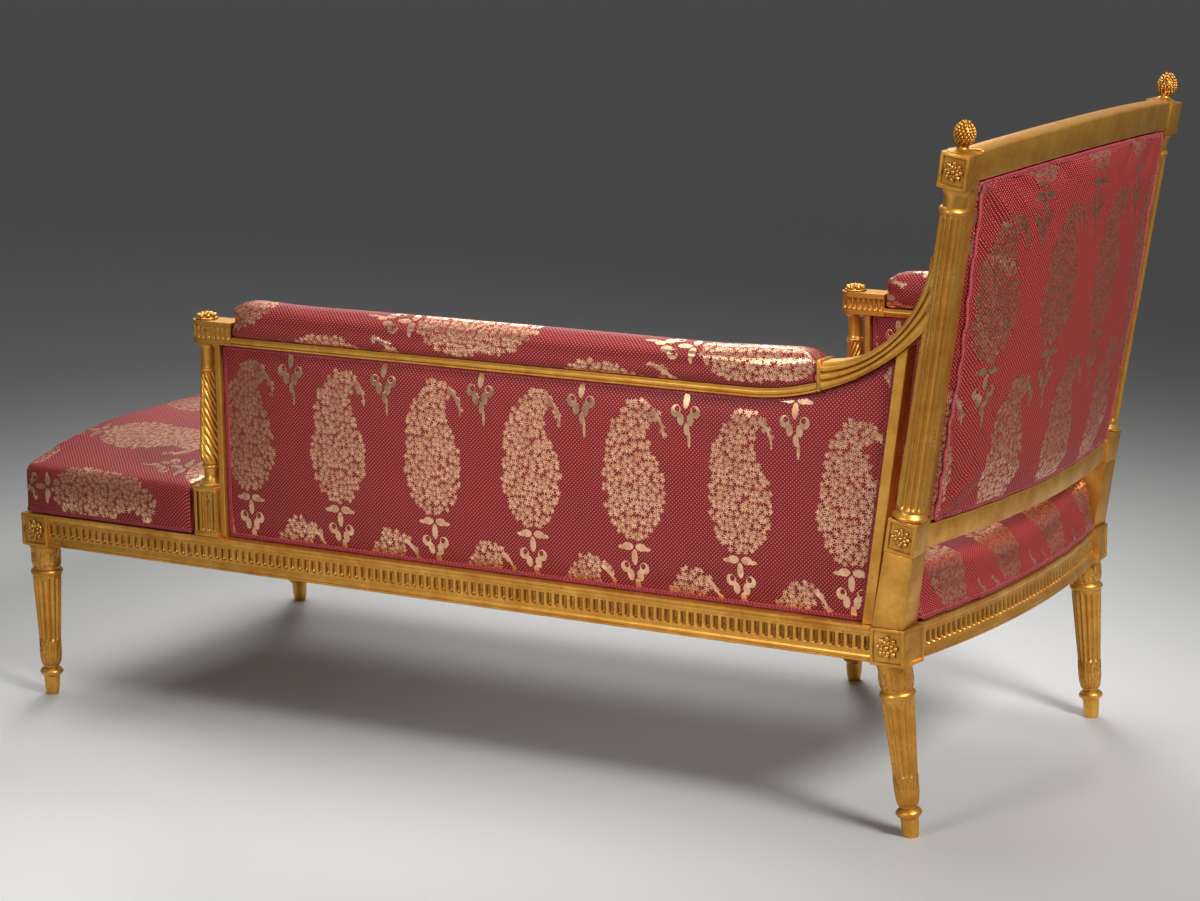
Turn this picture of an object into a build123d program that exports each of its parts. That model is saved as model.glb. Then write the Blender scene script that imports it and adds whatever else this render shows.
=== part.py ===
"""Carved and gilded chaise longue with one long and one short arm, in millimetres.

The foot end looks to -Y, the back stands at +Y and the long arm is on +X. Each piece of wood or
upholstery is a separate solid, joined by tenons, dowels and seats cut with a named clearance.
"""
import os
from math import cos, degrees, pi, radians, sin, sqrt, tan

from build123d import *

os.makedirs("parts", exist_ok=True)

# Overall sizes
overall_length = 1756.4
overall_height = 1040.0
leg_span_length = 1564.0
leg_span_width = 708.0
fit_clearance = 0.2
pad_clearance = 0.3
turned_sides = 20
flute_shoulder = 0.28

# Seat rails
rail_top = 315.0
rail_height = 52.0
rail_depth = 48.0
rail_setback = 1.0
rail_lip = 3.0
frieze_recess = 4.0
frieze_height = 25.0
lower_moulding_height = 11.0
flute_pitch = 13.6
flute_width = 8.0
flute_margin = 1.5
flute_depth = 3.0
rebate_width = 12.0
rebate_depth = 4.0
tenon_thickness = 12.0
tenon_shoulder = 10.0
tenon_length = 20.0
bow_radius = 1800.0
rear_rail_setback = 2.0

# Corner dies with their rosettes
die_size = 54.0
die_drop = 3.0
rear_die_turn = 7.0
panel_size = 38.0
panel_depth = 2.0
rosette_radius = 16.0
rosette_height = 1.6
rosette_button_radius = 5.0
rosette_button_height = 2.0
rosette_taper = 20.0
rosette_sides = 8

# Turned legs
toe_height = 32.0
toe_radius = 10.5
toe_top_radius = 13.0
ankle_height = 14.0
ankle_radius = 19.5
ankle_lip = 3.0
neck_radius = 13.0
collar_height = 46.0
collar_radius = 18.8
shaft_bottom_radius = 17.8
shaft_top_radius = 23.8
leg_flutes = 12
leg_flute_depth = 2.2
ring_height = 11.0
ring_radius = 26.4
capital_height = 42.0
capital_radius = 22.8
capital_top_radius = 26.6
rear_foot_back = 22.0
rear_foot_in = 13.0

# Rear posts above the seat
post_rake = 9.0
post_splay = 2.0
block_size = 49.0
block_top_size = 45.0
block_height = 112.0
post_die_size = 46.0
post_die_height = 50.0
base_ring_height = 14.0
base_ring_radius = 25.5
column_bottom_radius = 21.0
column_top_radius = 18.5
column_flutes = 12
column_flute_depth = 2.0
post_stile_reach = 36.0
post_stile_depth = 32.0
post_neck_height = 36.0
post_neck_radius = 16.5
post_neck_ring_height = 8.0
post_neck_ring_radius = 21.0
top_die_size = 44.0
top_die_height = 50.0
top_panel_size = 30.0

# Pinecone finials
finial_height = 43.0
finial_base_height = 9.0
finial_base_radius = 13.0
finial_neck_radius = 7.5
cone_radius = 16.3
cone_lobes = 10
cone_rows = 6
cone_scale_depth = 2.2
spigot_radius = 5.0
spigot_length = 14.0

# Arm supports
long_arm_setback = 356.0
short_arm_setback = 412.0
plinth_size = 47.0
plinth_height = 82.0
plinth_fillet = 9.0
plinth_flutes = 4
plinth_flute_width = 6.5
plinth_flute_pitch = 9.6
plinth_flute_depth = 2.5
bell_height = 28.0
bell_neck_radius = 13.5
bead_height = 7.0
bead_radius = 16.0
baluster_height = 150.0
baluster_foot_radius = 14.5
baluster_swell_radius = 20.0
baluster_swell_height = 20.0
baluster_top_radius = 12.8
spiral_flutes = 10
spiral_flute_depth = 3.2
spiral_turn = 110.0
spiral_steps = 7
support_ring_height = 9.0
support_ring_radius = 15.0
support_neck_radius = 12.4
support_cap_height = 6.0
support_cap_radius = 19.0
dowel_radius = 7.0
dowel_length = 18.0

# Arms
arm_bottom = 630.0
arm_band_height = 13.0
arm_width = 44.0
arm_block_height = 36.0
arm_block_length = 62.0
arm_sweep_start = 229.0
arm_under_radius = 400.0
arm_top_radius = 191.0
arm_top_back = 119.0
arm_top_height = 880.0
arm_tip_height = 840.0
arm_pad_end = 114.0
arm_splay = 17.0
arm_tenon_height = 752.0
arm_button_radius = 17.0
arm_button_height = 11.0

# Arm panels
stile_width = 10.0
stile_depth = 30.0
rear_stile_width = 17.0
rear_stile_rake = 7.5
rear_stile_gap = 1.5
panel_canvas = 2.0
panel_edge = 7.0
panel_crown = 13.0

# Back
crest_bottom = 955.0
crest_arch = 14.0
crest_height = 45.0
crest_depth = 38.0
crest_end_inset = 345.0
lower_rail_bottom = 427.0
lower_rail_height = 35.0
lower_rail_depth = 34.0
back_frame_inset = 1.5
back_pad_crown = 24.0
back_pad_edge = 10.0
back_pad_reach = 14.0
rear_pad_edge = 12.0
rear_pad_crown = 6.0
back_canvas_thickness = 2.0

# Upholstery
seat_edge_height = 80.0
seat_crown = 146.0
seat_inset = 5.0
seat_bulge = 5.0
seat_inner_gap = 14.0
seat_corner_radius = 14.0
seat_front_roll = 30.0
seat_rear_height = 84.0
arm_pad_width = 50.0
arm_pad_height = 70.0
arm_pad_shoulder = 30.0
arm_pad_end_drop = 30.0
arm_pad_end_roll = 34.0

# Seat platform
web_width = 60.0
web_thickness = 1.7
web_count_long = 4
web_pitch_long = 140.0
web_count_cross = 9
web_pitch_cross = 158.0
hessian_thickness = 0.6
cross_rail_depth = 34.0
cross_rail_height = 40.0
corner_block_leg = 78.0
corner_block_notch = 12.0
corner_block_height = 38.0

# Places worked out from the sizes above
leg_x = leg_span_width / 2
front_y = die_size / 2 - overall_length / 2
rear_y = front_y + leg_span_length
long_y = front_y + long_arm_setback
short_y = rear_y - short_arm_setback
rail_bottom = rail_top - rail_height
die_bottom = rail_bottom - die_drop
rail_outer = leg_x + die_size / 2 - rail_setback
rail_inner = rail_outer - rail_depth
die_inner = leg_x - die_size / 2
frieze_middle = rail_bottom + lower_moulding_height + rail_lip + frieze_height / 2
bow_drop = bow_radius - sqrt(bow_radius**2 - die_inner**2)
rear_rail_crown = rear_y + die_size / 2 + rear_rail_setback + bow_drop
bow_centre_y = rear_rail_crown - bow_radius
rebate_floor = rail_top - rebate_depth
mid_y = (front_y + rear_y) / 2
reach = overall_length
arm_seat = arm_bottom + arm_band_height
sweep_y = rear_y - arm_sweep_start
sweep_z = arm_bottom + arm_under_radius
arm_top_y = rear_y - arm_top_back
arm_pad_rear = rear_y - arm_pad_end

# The axis of the near rear post above the seat, and its own plane
post_direction = Vector(tan(radians(post_splay)), tan(radians(post_rake)), 1)
post_foot = Vector(leg_x, rear_y - 1, rail_top)
post_stretch = post_direction.length
post_x_dir = Vector(1, 0, -tan(radians(post_splay)))
post_plane = Plane(post_foot, x_dir=post_x_dir, z_dir=post_direction)
post_length = (overall_height - rail_top) * post_stretch - finial_height
column_start = block_height + post_die_height + base_ring_height
column_end = post_length - top_die_height - post_neck_height


def post_point(height, side=1):
    """Point of the near (1) or far (-1) post axis at a height above the floor."""
    point = post_foot + post_direction * (height - rail_top)
    return Vector(side * point.X, point.Y, height)


def save(builder, name):
    """Label the finished piece and write it."""
    builder.part.label = name
    export_step(builder.part, f"parts/{name}.step")


def ring_corners(plane, radius, count, hollow=((0.0, 0.0),), turned=0.0):
    """Corners round a plane's origin: each step repeats the (share of a step, sink) points of a hollow."""
    corners = []
    for index in range(count):
        for share, sink in hollow:
            angle = radians(turned) + (index + share) * 2 * pi / count
            out = radius - sink
            corners.append(plane.from_local_coords((out * cos(angle), out * sin(angle), 0)))
    return corners


def ringed_solid(rings, turning=False, mode=Mode.ADD):
    """Solid of flats between rings of corners, closed at both ends; turning rings need triangles."""
    faces = [Face(Wire.make_polygon(ring)) for ring in (rings[0], rings[-1])]
    for low, high in zip(rings, rings[1:]):
        for index in range(len(low)):
            corners = [low[index - 1], low[index], high[index], high[index - 1]]
            flats = [corners[:3], [corners[0], *corners[2:]]] if turning else [corners]
            faces += [Face(Wire.make_polygon(flat)) for flat in flats]
    add(Solid(Shell(faces)), mode=mode)


def turn(base, outline, mode=Mode.ADD):
    """Turned work through (radius, height) points up the base plane's normal, drawn with a few flats."""
    rings = [ring_corners(base.offset(height), radius, turned_sides) for radius, height in outline]
    ringed_solid(rings, mode=mode)


def fluted_shaft(base, ends, count, depth):
    """Tapered shaft between two (radius, height) ends with flat-bottomed flutes that taper along with it."""
    rings = []
    for radius, height in ends:
        sink = depth * radius / ends[0][0]
        hollow = ((0.0, 0.0), (flute_shoulder, sink), (1 - flute_shoulder, sink))
        rings.append(ring_corners(base.offset(height), radius, count, hollow))
    ringed_solid(rings)


def rosette(plane, size):
    """Sunk square panel with a round flower and its button, on the plane of a face."""
    with BuildSketch(plane) as panel:
        Rectangle(size, size)
    extrude(panel.sketch, amount=-panel_depth, mode=Mode.SUBTRACT)
    flower_radius = min(rosette_radius, size / 2 - 1)
    floor = plane.offset(-panel_depth)
    for radius, height in ((flower_radius, rosette_height), (rosette_button_radius, rosette_button_height)):
        top_radius = radius - height * tan(radians(rosette_taper))
        ringed_solid([
            ring_corners(floor, radius, rosette_sides),
            ring_corners(floor.offset(height), top_radius, rosette_sides),
        ])


def face_plane(x, y, z, normal):
    """Upright plane at a point, with its local Y up."""
    outward = Vector(*normal)
    return Plane((x, y, z), x_dir=Vector(0, 0, 1).cross(outward), z_dir=outward)


def turned_leg(base, length):
    """Toe, ankle ring, leaf collar, fluted shaft, ring and capital, from the floor up."""
    ankle = toe_height + ankle_height
    shaft = ankle + collar_height
    capital = length - capital_height
    ring = capital - ring_height
    turn(base, [
        (toe_radius, 0),
        (toe_top_radius, toe_height),
        (ankle_radius, toe_height + ankle_lip),
        (ankle_radius, ankle - ankle_lip),
        (neck_radius, ankle),
        (collar_radius, shaft),
    ])
    shaft_ends = [(shaft_bottom_radius, shaft), (shaft_top_radius, ring)]
    fluted_shaft(base, shaft_ends, leg_flutes, leg_flute_depth)
    turn(base, [
        (shaft_top_radius, ring),
        (ring_radius, ring + ring_height / 2),
        (capital_radius, capital),
        (capital_top_radius, length),
    ])


def rail_section(plane):
    """Moulded rail section: local X runs out from the inner face, local Y is the height."""
    frieze = rail_depth - frieze_recess
    frieze_low = rail_bottom + lower_moulding_height + rail_lip
    frieze_high = frieze_low + frieze_height
    low_bend = (frieze + frieze_recess * 0.62, rail_bottom + rail_lip + lower_moulding_height * 0.6)
    high_bend = (frieze + frieze_recess * 0.3, (frieze_high + rail_top - rail_lip) / 2)
    with BuildSketch(plane) as section:
        with BuildLine():
            Polyline(
                (rail_depth, rail_bottom + rail_lip),
                (rail_depth, rail_bottom),
                (0, rail_bottom),
                (0, rebate_floor),
                (rebate_width, rebate_floor),
                (rebate_width, rail_top),
                (rail_depth, rail_top),
                (rail_depth, rail_top - rail_lip),
            )
            ThreePointArc((rail_depth, rail_bottom + rail_lip), low_bend, (frieze, frieze_low))
            Line((frieze, frieze_low), (frieze, frieze_high))
            ThreePointArc((frieze, frieze_high), high_bend, (rail_depth, rail_top - rail_lip))
        make_face()
    return section.sketch


def cut_flutes(spots, run):
    """Cut upright V flutes below each spot of a frieze that runs along `run`."""
    flute_floor = frieze_middle - frieze_height / 2 + flute_margin
    with BuildSketch(Plane.XY.offset(flute_floor)) as flutes:
        for spot, along_frieze in zip(spots, run):
            outward = along_frieze.cross(Vector(0, 0, 1))
            left = spot - along_frieze * (flute_width / 2)
            right = spot + along_frieze * (flute_width / 2)
            corners = [left, left + outward * rail_lip, right + outward * rail_lip, right]
            valley = spot - outward * flute_depth
            with BuildLine():
                Polyline(*[(corner.X, corner.Y) for corner in (*corners, valley)], close=True)
            make_face()
    extrude(flutes.sketch, amount=frieze_height - 2 * flute_margin, mode=Mode.SUBTRACT)


def straight_rail(start, run, length):
    """Moulded and fluted rail from a start point on its inner edge, with a tenon at each end."""
    outward = run.cross(Vector(0, 0, 1))
    extrude(rail_section(Plane(start, x_dir=outward, z_dir=-run)), amount=-length)
    middle = start + run * (length / 2) + outward * (rail_depth - frieze_recess)
    count = int(length / flute_pitch)
    spots = [middle + run * (flute_pitch * (index - (count - 1) / 2)) for index in range(count)]
    cut_flutes(spots, [run] * count)
    tenon_plane = Plane(start + outward * (rail_depth / 2), x_dir=outward, z_dir=run)
    tenon_middle = rail_bottom + rail_height / 2
    with BuildSketch(tenon_plane.offset(-tenon_length)) as tenon:
        with Locations((0, -tenon_middle)):
            Rectangle(tenon_thickness, rail_height - 2 * tenon_shoulder)
    extrude(tenon.sketch, amount=length + 2 * tenon_length)


def mortise(x, y, toward):
    """Pocket for a rail tenon in a die face at (x, y), looking along `toward` out of the die."""
    run = Vector(*toward)
    side = Vector(0, 0, 1).cross(run)
    with BuildSketch(Plane((x, y, rail_bottom + rail_height / 2), x_dir=side, z_dir=run)) as pocket:
        Rectangle(tenon_thickness + 2 * fit_clearance, rail_height - 2 * tenon_shoulder + 2 * fit_clearance)
    extrude(pocket.sketch, amount=-tenon_length - fit_clearance, mode=Mode.SUBTRACT)


def dowel_hole(mouth, radius, length):
    """Blind round hole down from its mouth, with clearance for the dowel."""
    with BuildSketch(mouth) as hole:
        RegularPolygon(radius + fit_clearance, turned_sides)
    extrude(hole.sketch, amount=-length - fit_clearance, mode=Mode.SUBTRACT)


rail_centre = rail_outer - rail_depth / 2
die_middle = (rail_top + die_bottom) / 2
front_rail_outer = front_y - die_size / 2 + rail_setback
front_rail_centre = front_rail_outer + rail_depth / 2
rear_rail_end = bow_centre_y + sqrt(bow_radius**2 - die_inner**2) - rail_depth / 2

# Front legs, each with the die that takes the side rail and the front rail
with BuildPart() as front_leg_near:
    turned_leg(Plane((leg_x, front_y, 0)), die_bottom)
    with BuildSketch(Plane.XY.offset(die_bottom)):
        with Locations((leg_x, front_y)):
            Rectangle(die_size, die_size)
    extrude(amount=rail_top - die_bottom)
    rosette(face_plane(leg_x + die_size / 2, front_y, die_middle, (1, 0, 0)), panel_size)
    rosette(face_plane(leg_x, front_y - die_size / 2, die_middle, (0, -1, 0)), panel_size)
    mortise(rail_centre, front_y + die_size / 2, (0, 1, 0))
    mortise(die_inner, front_rail_centre, (-1, 0, 0))
save(front_leg_near, "front_leg_near")

with BuildPart() as front_leg_far:
    mirror(front_leg_near.part, about=Plane.YZ)
save(front_leg_far, "front_leg_far")

# Middle leg on the far side, under the short arm
with BuildPart() as middle_leg:
    turned_leg(Plane((-leg_x, short_y, 0)), die_bottom)
    with BuildSketch(Plane.XY.offset(die_bottom)):
        with Locations((-leg_x, short_y)):
            Rectangle(die_size, die_size)
    extrude(amount=rail_top - die_bottom)
    rosette(face_plane(-leg_x - die_size / 2, short_y, die_middle, (-1, 0, 0)), panel_size)
    mortise(-rail_centre, short_y + die_size / 2, (0, 1, 0))
    mortise(-rail_centre, short_y - die_size / 2, (0, -1, 0))
    dowel_hole(Plane((-leg_x, short_y, rail_top)), dowel_radius, dowel_length)
save(middle_leg, "middle_leg_far")

# Rear posts: raked leg, die, plain block, second die, fluted column with its stile, neck and top die
rear_foot = Vector(leg_x - rear_foot_in, rear_y + rear_foot_back, 0)
leg_axis = Vector(leg_x, rear_y, die_bottom) - rear_foot
leg_plane = Plane(rear_foot, x_dir=Vector(leg_axis.Z, 0, -leg_axis.X), z_dir=leg_axis)
arm_tenon_plane = Plane(post_point(arm_tenon_height), x_dir=(1, 0, 0), z_dir=(0, -1, 0))
with BuildPart() as rear_post_near:
    turned_leg(leg_plane.offset(-toe_radius / 8), leg_axis.length + toe_radius / 4)
    split(bisect_by=Plane.XY, keep=Keep.TOP)
    with BuildSketch(Plane.XY.offset(die_bottom)):
        with BuildLine():
            rear_edge = rear_y + die_size / 2
            lean = die_size * tan(radians(rear_die_turn))
            Polyline(
                (die_inner, rear_y - die_size / 2),
                (leg_x + die_size / 2, rear_y - die_size / 2),
                (leg_x + die_size / 2, rear_edge),
                (die_inner, rear_edge + lean),
                close=True,
            )
        make_face()
    extrude(amount=rail_top - die_bottom)
    with BuildSketch(post_plane.offset(-rail_lip)):
        Rectangle(block_size, block_size)
    with BuildSketch(post_plane.offset(block_height)):
        Rectangle(block_top_size, block_top_size)
    loft(ruled=True)
    with BuildSketch(post_plane.offset(block_height)):
        Rectangle(post_die_size, post_die_size)
    extrude(amount=post_die_height)
    turn(post_plane.offset(column_start - base_ring_height), [
        (base_ring_radius, 0),
        (base_ring_radius, base_ring_height / 2),
        (column_bottom_radius, base_ring_height),
    ])
    column_ends = [(column_bottom_radius, column_start), (column_top_radius, column_end)]
    fluted_shaft(post_plane, column_ends, column_flutes, column_flute_depth)
    with BuildSketch(post_plane.offset(column_start - base_ring_height)):
        with Locations((-post_stile_reach / 2, 0)):
            Rectangle(post_stile_reach, post_stile_depth)
    extrude(amount=post_length - top_die_height - column_start + base_ring_height)
    turn(post_plane.offset(column_end), [
        (column_top_radius, 0),
        (post_neck_ring_radius, post_neck_ring_height / 2),
        (post_neck_radius, post_neck_ring_height),
        (post_neck_radius, post_neck_height * 2 / 3),
        (top_die_size / 2, post_neck_height),
    ])
    with BuildSketch(post_plane.offset(post_length - top_die_height)):
        Rectangle(top_die_size, top_die_size)
    extrude(amount=top_die_height)
    rosette(face_plane(leg_x + die_size / 2, rear_y, die_middle, (1, 0, 0)), panel_size)
    for size, height, panel in (
        (post_die_size, block_height + post_die_height / 2, panel_size),
        (top_die_size, post_length - top_die_height / 2, top_panel_size),
    ):
        spot = post_plane.from_local_coords((size / 2, 0, height))
        rosette(Plane(spot, x_dir=post_plane.y_dir, z_dir=post_plane.x_dir), panel)
    mortise(rail_centre, rear_y - die_size / 2, (0, -1, 0))
    mortise(die_inner, rear_rail_end, (-1, 0, 0))
    dowel_hole(post_plane.offset(post_length), spigot_radius, spigot_length)
    dowel_hole(arm_tenon_plane.offset(column_bottom_radius), dowel_radius, column_bottom_radius)
save(rear_post_near, "rear_post_near")

with BuildPart() as rear_post_far:
    mirror(rear_post_near.part, about=Plane.YZ)
save(rear_post_far, "rear_post_far")

# Finials: a turned foot below a pinecone of twisted scale rows, with a spigot into the top die
finial_plane = post_plane.offset(post_length)
cone_start = finial_base_height
cone_length = finial_height - finial_base_height
with BuildPart() as finial_near:
    turn(finial_plane, [
        (finial_base_radius, 0),
        (finial_base_radius, finial_base_height / 3),
        (finial_neck_radius, finial_base_height),
    ])
    turn(finial_plane.offset(-spigot_length), [(spigot_radius, 0), (spigot_radius, spigot_length)])
    rows = []
    for row in range(cone_rows + 1):
        share = row / cone_rows
        swell = sin(pi * (0.14 + 0.80 * share)) ** 0.7
        level = finial_plane.offset(cone_start + share * cone_length)
        twist = row * degrees(pi / cone_lobes) / 2
        scale = ((0.0, 0.0), (0.5, cone_scale_depth * swell))
        rows.append(ring_corners(level, cone_radius * swell, cone_lobes, scale, twist))
    ringed_solid(rows, turning=True)
save(finial_near, "finial_near")

with BuildPart() as finial_far:
    mirror(finial_near.part, about=Plane.YZ)
save(finial_far, "finial_far")

# Straight seat rails, tenoned into the dies; the near rail is bored for the arm support
along = Vector(0, 1, 0)
across = Vector(1, 0, 0)
rail_start = front_y + die_size / 2
rail_end = rear_y - die_size / 2
with BuildPart() as side_rail_near:
    straight_rail(Vector(rail_inner, rail_start, 0), along, rail_end - rail_start)
    dowel_hole(Plane((leg_x, long_y, rail_top)), dowel_radius, dowel_length)
save(side_rail_near, "side_rail_near")

with BuildPart() as side_rail_far_front:
    far_front_end = short_y - die_size / 2
    straight_rail(Vector(-rail_inner, far_front_end, 0), -along, far_front_end - rail_start)
save(side_rail_far_front, "side_rail_far_front")

with BuildPart() as side_rail_far_rear:
    straight_rail(Vector(-rail_inner, rail_end, 0), -along, rail_end - short_y - die_size / 2)
save(side_rail_far_rear, "side_rail_far_rear")

with BuildPart() as front_rail:
    straight_rail(Vector(-die_inner, front_rail_outer + rail_depth, 0), across, 2 * die_inner)
save(front_rail, "front_rail")

# Bowed rear rail: the same section turned about the middle of the bow
with BuildPart() as rear_rail:
    bow_middle = Vector(0, bow_centre_y, 0)
    bow_inner = bow_radius - rail_depth
    half_angle = degrees(die_inner / bow_inner) + 1
    start_dir = Vector(sin(radians(half_angle)), cos(radians(half_angle)), 0)
    section_start = bow_middle + start_dir * bow_inner
    section = rail_section(Plane(section_start, x_dir=start_dir, z_dir=start_dir.cross(Vector(0, 0, 1))))
    revolve(section, axis=Axis(bow_middle, (0, 0, 1)), revolution_arc=2 * half_angle)
    flute_count = int(2 * die_inner / flute_pitch)
    angles = [(index - (flute_count - 1) / 2) * flute_pitch / bow_radius for index in range(flute_count)]
    outs = [Vector(sin(angle), cos(angle), 0) for angle in angles]
    spots = [bow_middle + out * (bow_radius - frieze_recess) for out in outs]
    cut_flutes(spots, [Vector(0, 0, 1).cross(out) for out in outs])
    with BuildSketch(Plane.XY.offset(rail_bottom)):
        with Locations((0, rear_rail_crown)):
            Rectangle(2 * die_inner, 4 * rail_depth)
    extrude(amount=rail_height, mode=Mode.INTERSECT)
    for side in (1, -1):
        root = Vector(side * (die_inner - tenon_length), rear_rail_end, rail_bottom + rail_height / 2)
        with BuildSketch(Plane(root, x_dir=(0, 1, 0), z_dir=(side, 0, 0))):
            Rectangle(tenon_thickness, rail_height - 2 * tenon_shoulder)
        extrude(amount=2 * tenon_length)
save(rear_rail, "rear_rail")


def baluster_radius(share):
    """Radius of the spiral baluster at a share of its height: a quick swell, then a long taper."""
    swell_share = baluster_swell_height / baluster_height
    if share < swell_share:
        growth = sin(pi / 2 * share / swell_share)
        return baluster_foot_radius + (baluster_swell_radius - baluster_foot_radius) * growth
    fall = (share - swell_share) / (1 - swell_share)
    return baluster_swell_radius + (baluster_top_radius - baluster_swell_radius) * fall**0.85


# Arm supports: fluted plinth, bell, spiral-fluted baluster, ring and neck, dowelled at both ends
for side, support_y, name in ((1, long_y, "arm_support_near"), (-1, short_y, "arm_support_far")):
    with BuildPart() as arm_support:
        foot = Plane((side * leg_x, support_y, rail_top))
        with BuildSketch(foot):
            Rectangle(plinth_size, plinth_size)
        extrude(amount=plinth_height)
        panel_height = plinth_height - 2 * plinth_fillet
        for index in range(4):
            facing = (sin(index * pi / 2), cos(index * pi / 2), 0)
            spot = foot.origin + Vector(*facing) * (plinth_size / 2) + Vector(0, 0, plinth_height / 2)
            with BuildSketch(face_plane(*spot, facing)):
                with GridLocations(plinth_flute_pitch, 1, plinth_flutes, 1):
                    Rectangle(plinth_flute_width, panel_height)
            extrude(amount=-plinth_flute_depth, mode=Mode.SUBTRACT)
        bell = foot.offset(plinth_height)
        turn(bell, [
            (plinth_size / 2 - plinth_flute_depth / 2, 0),
            (bell_neck_radius + (plinth_size / 2 - bell_neck_radius) / 4, bell_height / 3),
            (bell_neck_radius, bell_height),
            (bead_radius, bell_height + bead_height / 2),
            (baluster_foot_radius, bell_height + bead_height),
        ])
        baluster = bell.offset(bell_height + bead_height)
        turns = []
        for step in range(spiral_steps + 1):
            share = (step / spiral_steps) ** 1.4
            level = baluster.offset(share * baluster_height)
            turned = side * share * spiral_turn
            radius = baluster_radius(share)
            ridge = ((0.0, 0.0), (0.5, spiral_flute_depth))
            turns.append(ring_corners(level, radius, spiral_flutes, ridge, turned))
        ringed_solid(turns, turning=True)
        ring = baluster.offset(baluster_height)
        neck_top = arm_bottom - ring.origin.Z
        turn(ring, [
            (baluster_top_radius, 0),
            (support_ring_radius, support_ring_height / 2),
            (support_neck_radius, support_ring_height),
            (support_neck_radius, neck_top - support_cap_height),
            (support_cap_radius, neck_top - support_cap_height / 3),
            (support_cap_radius, neck_top),
        ])
        turn(foot, [(dowel_radius, -dowel_length), (dowel_radius, plinth_height)])
        turn(ring, [(dowel_radius, neck_top - support_ring_height), (dowel_radius, neck_top + dowel_length)])
    save(arm_support, name)


def arm_profile(support_y):
    """Side view of an arm: block over the support, thin band, then the sweep up to the post."""
    block_front = support_y - arm_width / 2
    block_rear = support_y + arm_block_length
    block_top = arm_bottom + arm_block_height
    band_radius = arm_under_radius - arm_band_height
    band_drop = sqrt(band_radius**2 - (arm_pad_rear - sweep_y) ** 2)
    tip_y = arm_top_y + sqrt(arm_top_radius**2 - (arm_top_height - arm_tip_height) ** 2)
    end_y = arm_top_y + arm_top_radius + column_bottom_radius
    end_z = sweep_z - sqrt(arm_under_radius**2 - (end_y - sweep_y) ** 2)
    collar_z = arm_top_height - sqrt(arm_top_radius**2 - (arm_pad_rear - arm_top_y) ** 2)
    with BuildSketch(Plane.YZ) as profile:
        with BuildLine():
            Polyline(
                (sweep_y, arm_bottom),
                (block_front, arm_bottom),
                (block_front, block_top),
                (block_rear, block_top),
                (block_rear, arm_seat),
                (sweep_y, arm_seat),
            )
            RadiusArc((sweep_y, arm_seat), (arm_pad_rear, sweep_z - band_drop), -band_radius)
            Line((arm_pad_rear, sweep_z - band_drop), (arm_pad_rear, collar_z))
            RadiusArc((arm_pad_rear, collar_z), (tip_y, arm_tip_height), -arm_top_radius)
            Polyline((tip_y, arm_tip_height), (end_y, arm_tip_height), (end_y, end_z))
            RadiusArc((end_y, end_z), (sweep_y, arm_bottom), arm_under_radius)
        make_face()
    return profile.sketch


def arm_plan(support_y):
    """Plan of an arm: round front, straight sides, then a gentle curve out to the raked post."""
    end_y = arm_top_y + arm_top_radius + column_bottom_radius
    outer = leg_x + arm_width / 2
    inner = leg_x - arm_width / 2
    with BuildSketch(Plane.XY) as plan:
        with BuildLine():
            ThreePointArc((inner, support_y), (leg_x, support_y - arm_width / 2), (outer, support_y))
            Line((outer, support_y), (outer, sweep_y))
            TangentArc((outer, sweep_y), (outer + arm_splay, end_y), tangent=(0, 1))
            Line((outer + arm_splay, end_y), (inner + arm_splay, end_y))
            TangentArc((inner, sweep_y), (inner + arm_splay, end_y), tangent=(0, 1))
            Line((inner, sweep_y), (inner, support_y))
        make_face()
    return plan.sketch


# Arms, sawn to the side view and the plan, scribed to the column and tenoned into it
arm_end_plane = Plane(
    post_plane.from_local_coords((0, -post_stile_depth / 2 - pad_clearance, 0)),
    x_dir=post_plane.x_dir,
    z_dir=post_plane.y_dir,
)
for side, support_y, name in ((1, long_y, "long_arm"), (-1, short_y, "short_arm")):
    with BuildPart() as arm:
        extrude(arm_profile(support_y), amount=reach)
        extrude(arm_plan(support_y), amount=reach, mode=Mode.INTERSECT)
        split(bisect_by=arm_end_plane, keep=Keep.BOTTOM)
        turn(post_plane, [
            (column_bottom_radius + pad_clearance, column_start),
            (column_top_radius + pad_clearance, column_end),
        ], mode=Mode.SUBTRACT)
        with BuildSketch(arm_tenon_plane):
            RegularPolygon(dowel_radius, turned_sides)
        extrude(amount=column_bottom_radius + dowel_radius)
        dowel_hole(Plane((leg_x, support_y, arm_bottom), z_dir=(0, 0, -1)), dowel_radius, dowel_length)
        turn(Plane((leg_x, support_y, arm_bottom + arm_block_height)), [
            (arm_button_radius, 0),
            (arm_button_radius * 0.85, arm_button_height / 2),
            (arm_button_radius * 0.45, arm_button_height),
        ])
        if side < 0:
            mirror(about=Plane.YZ, mode=Mode.REPLACE)
    save(arm, name)


def rear_stile_edge(height, inset):
    """Place of the raked rear stile at a height, this far in front of its rear edge."""
    return rail_end - rear_stile_gap - inset + tan(radians(rear_stile_rake)) * (height - rail_top)


def panel_outline(front, inset, floor, margin):
    """Side view of an arm panel, under the arm's band and sweep and in front of the raked stile."""
    with BuildSketch(Plane.YZ) as outline:
        with BuildLine():
            Polyline(
                (front, floor),
                (rear_stile_edge(floor, inset), floor),
                (rear_stile_edge(arm_top_height, inset), arm_top_height),
                (sweep_y, arm_top_height),
                (sweep_y, arm_bottom - margin),
                (front, arm_bottom - margin),
                close=True,
            )
        make_face()
        with Locations((sweep_y, sweep_z)):
            Circle(arm_under_radius + margin, mode=Mode.SUBTRACT)
    return outline.sketch


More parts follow.
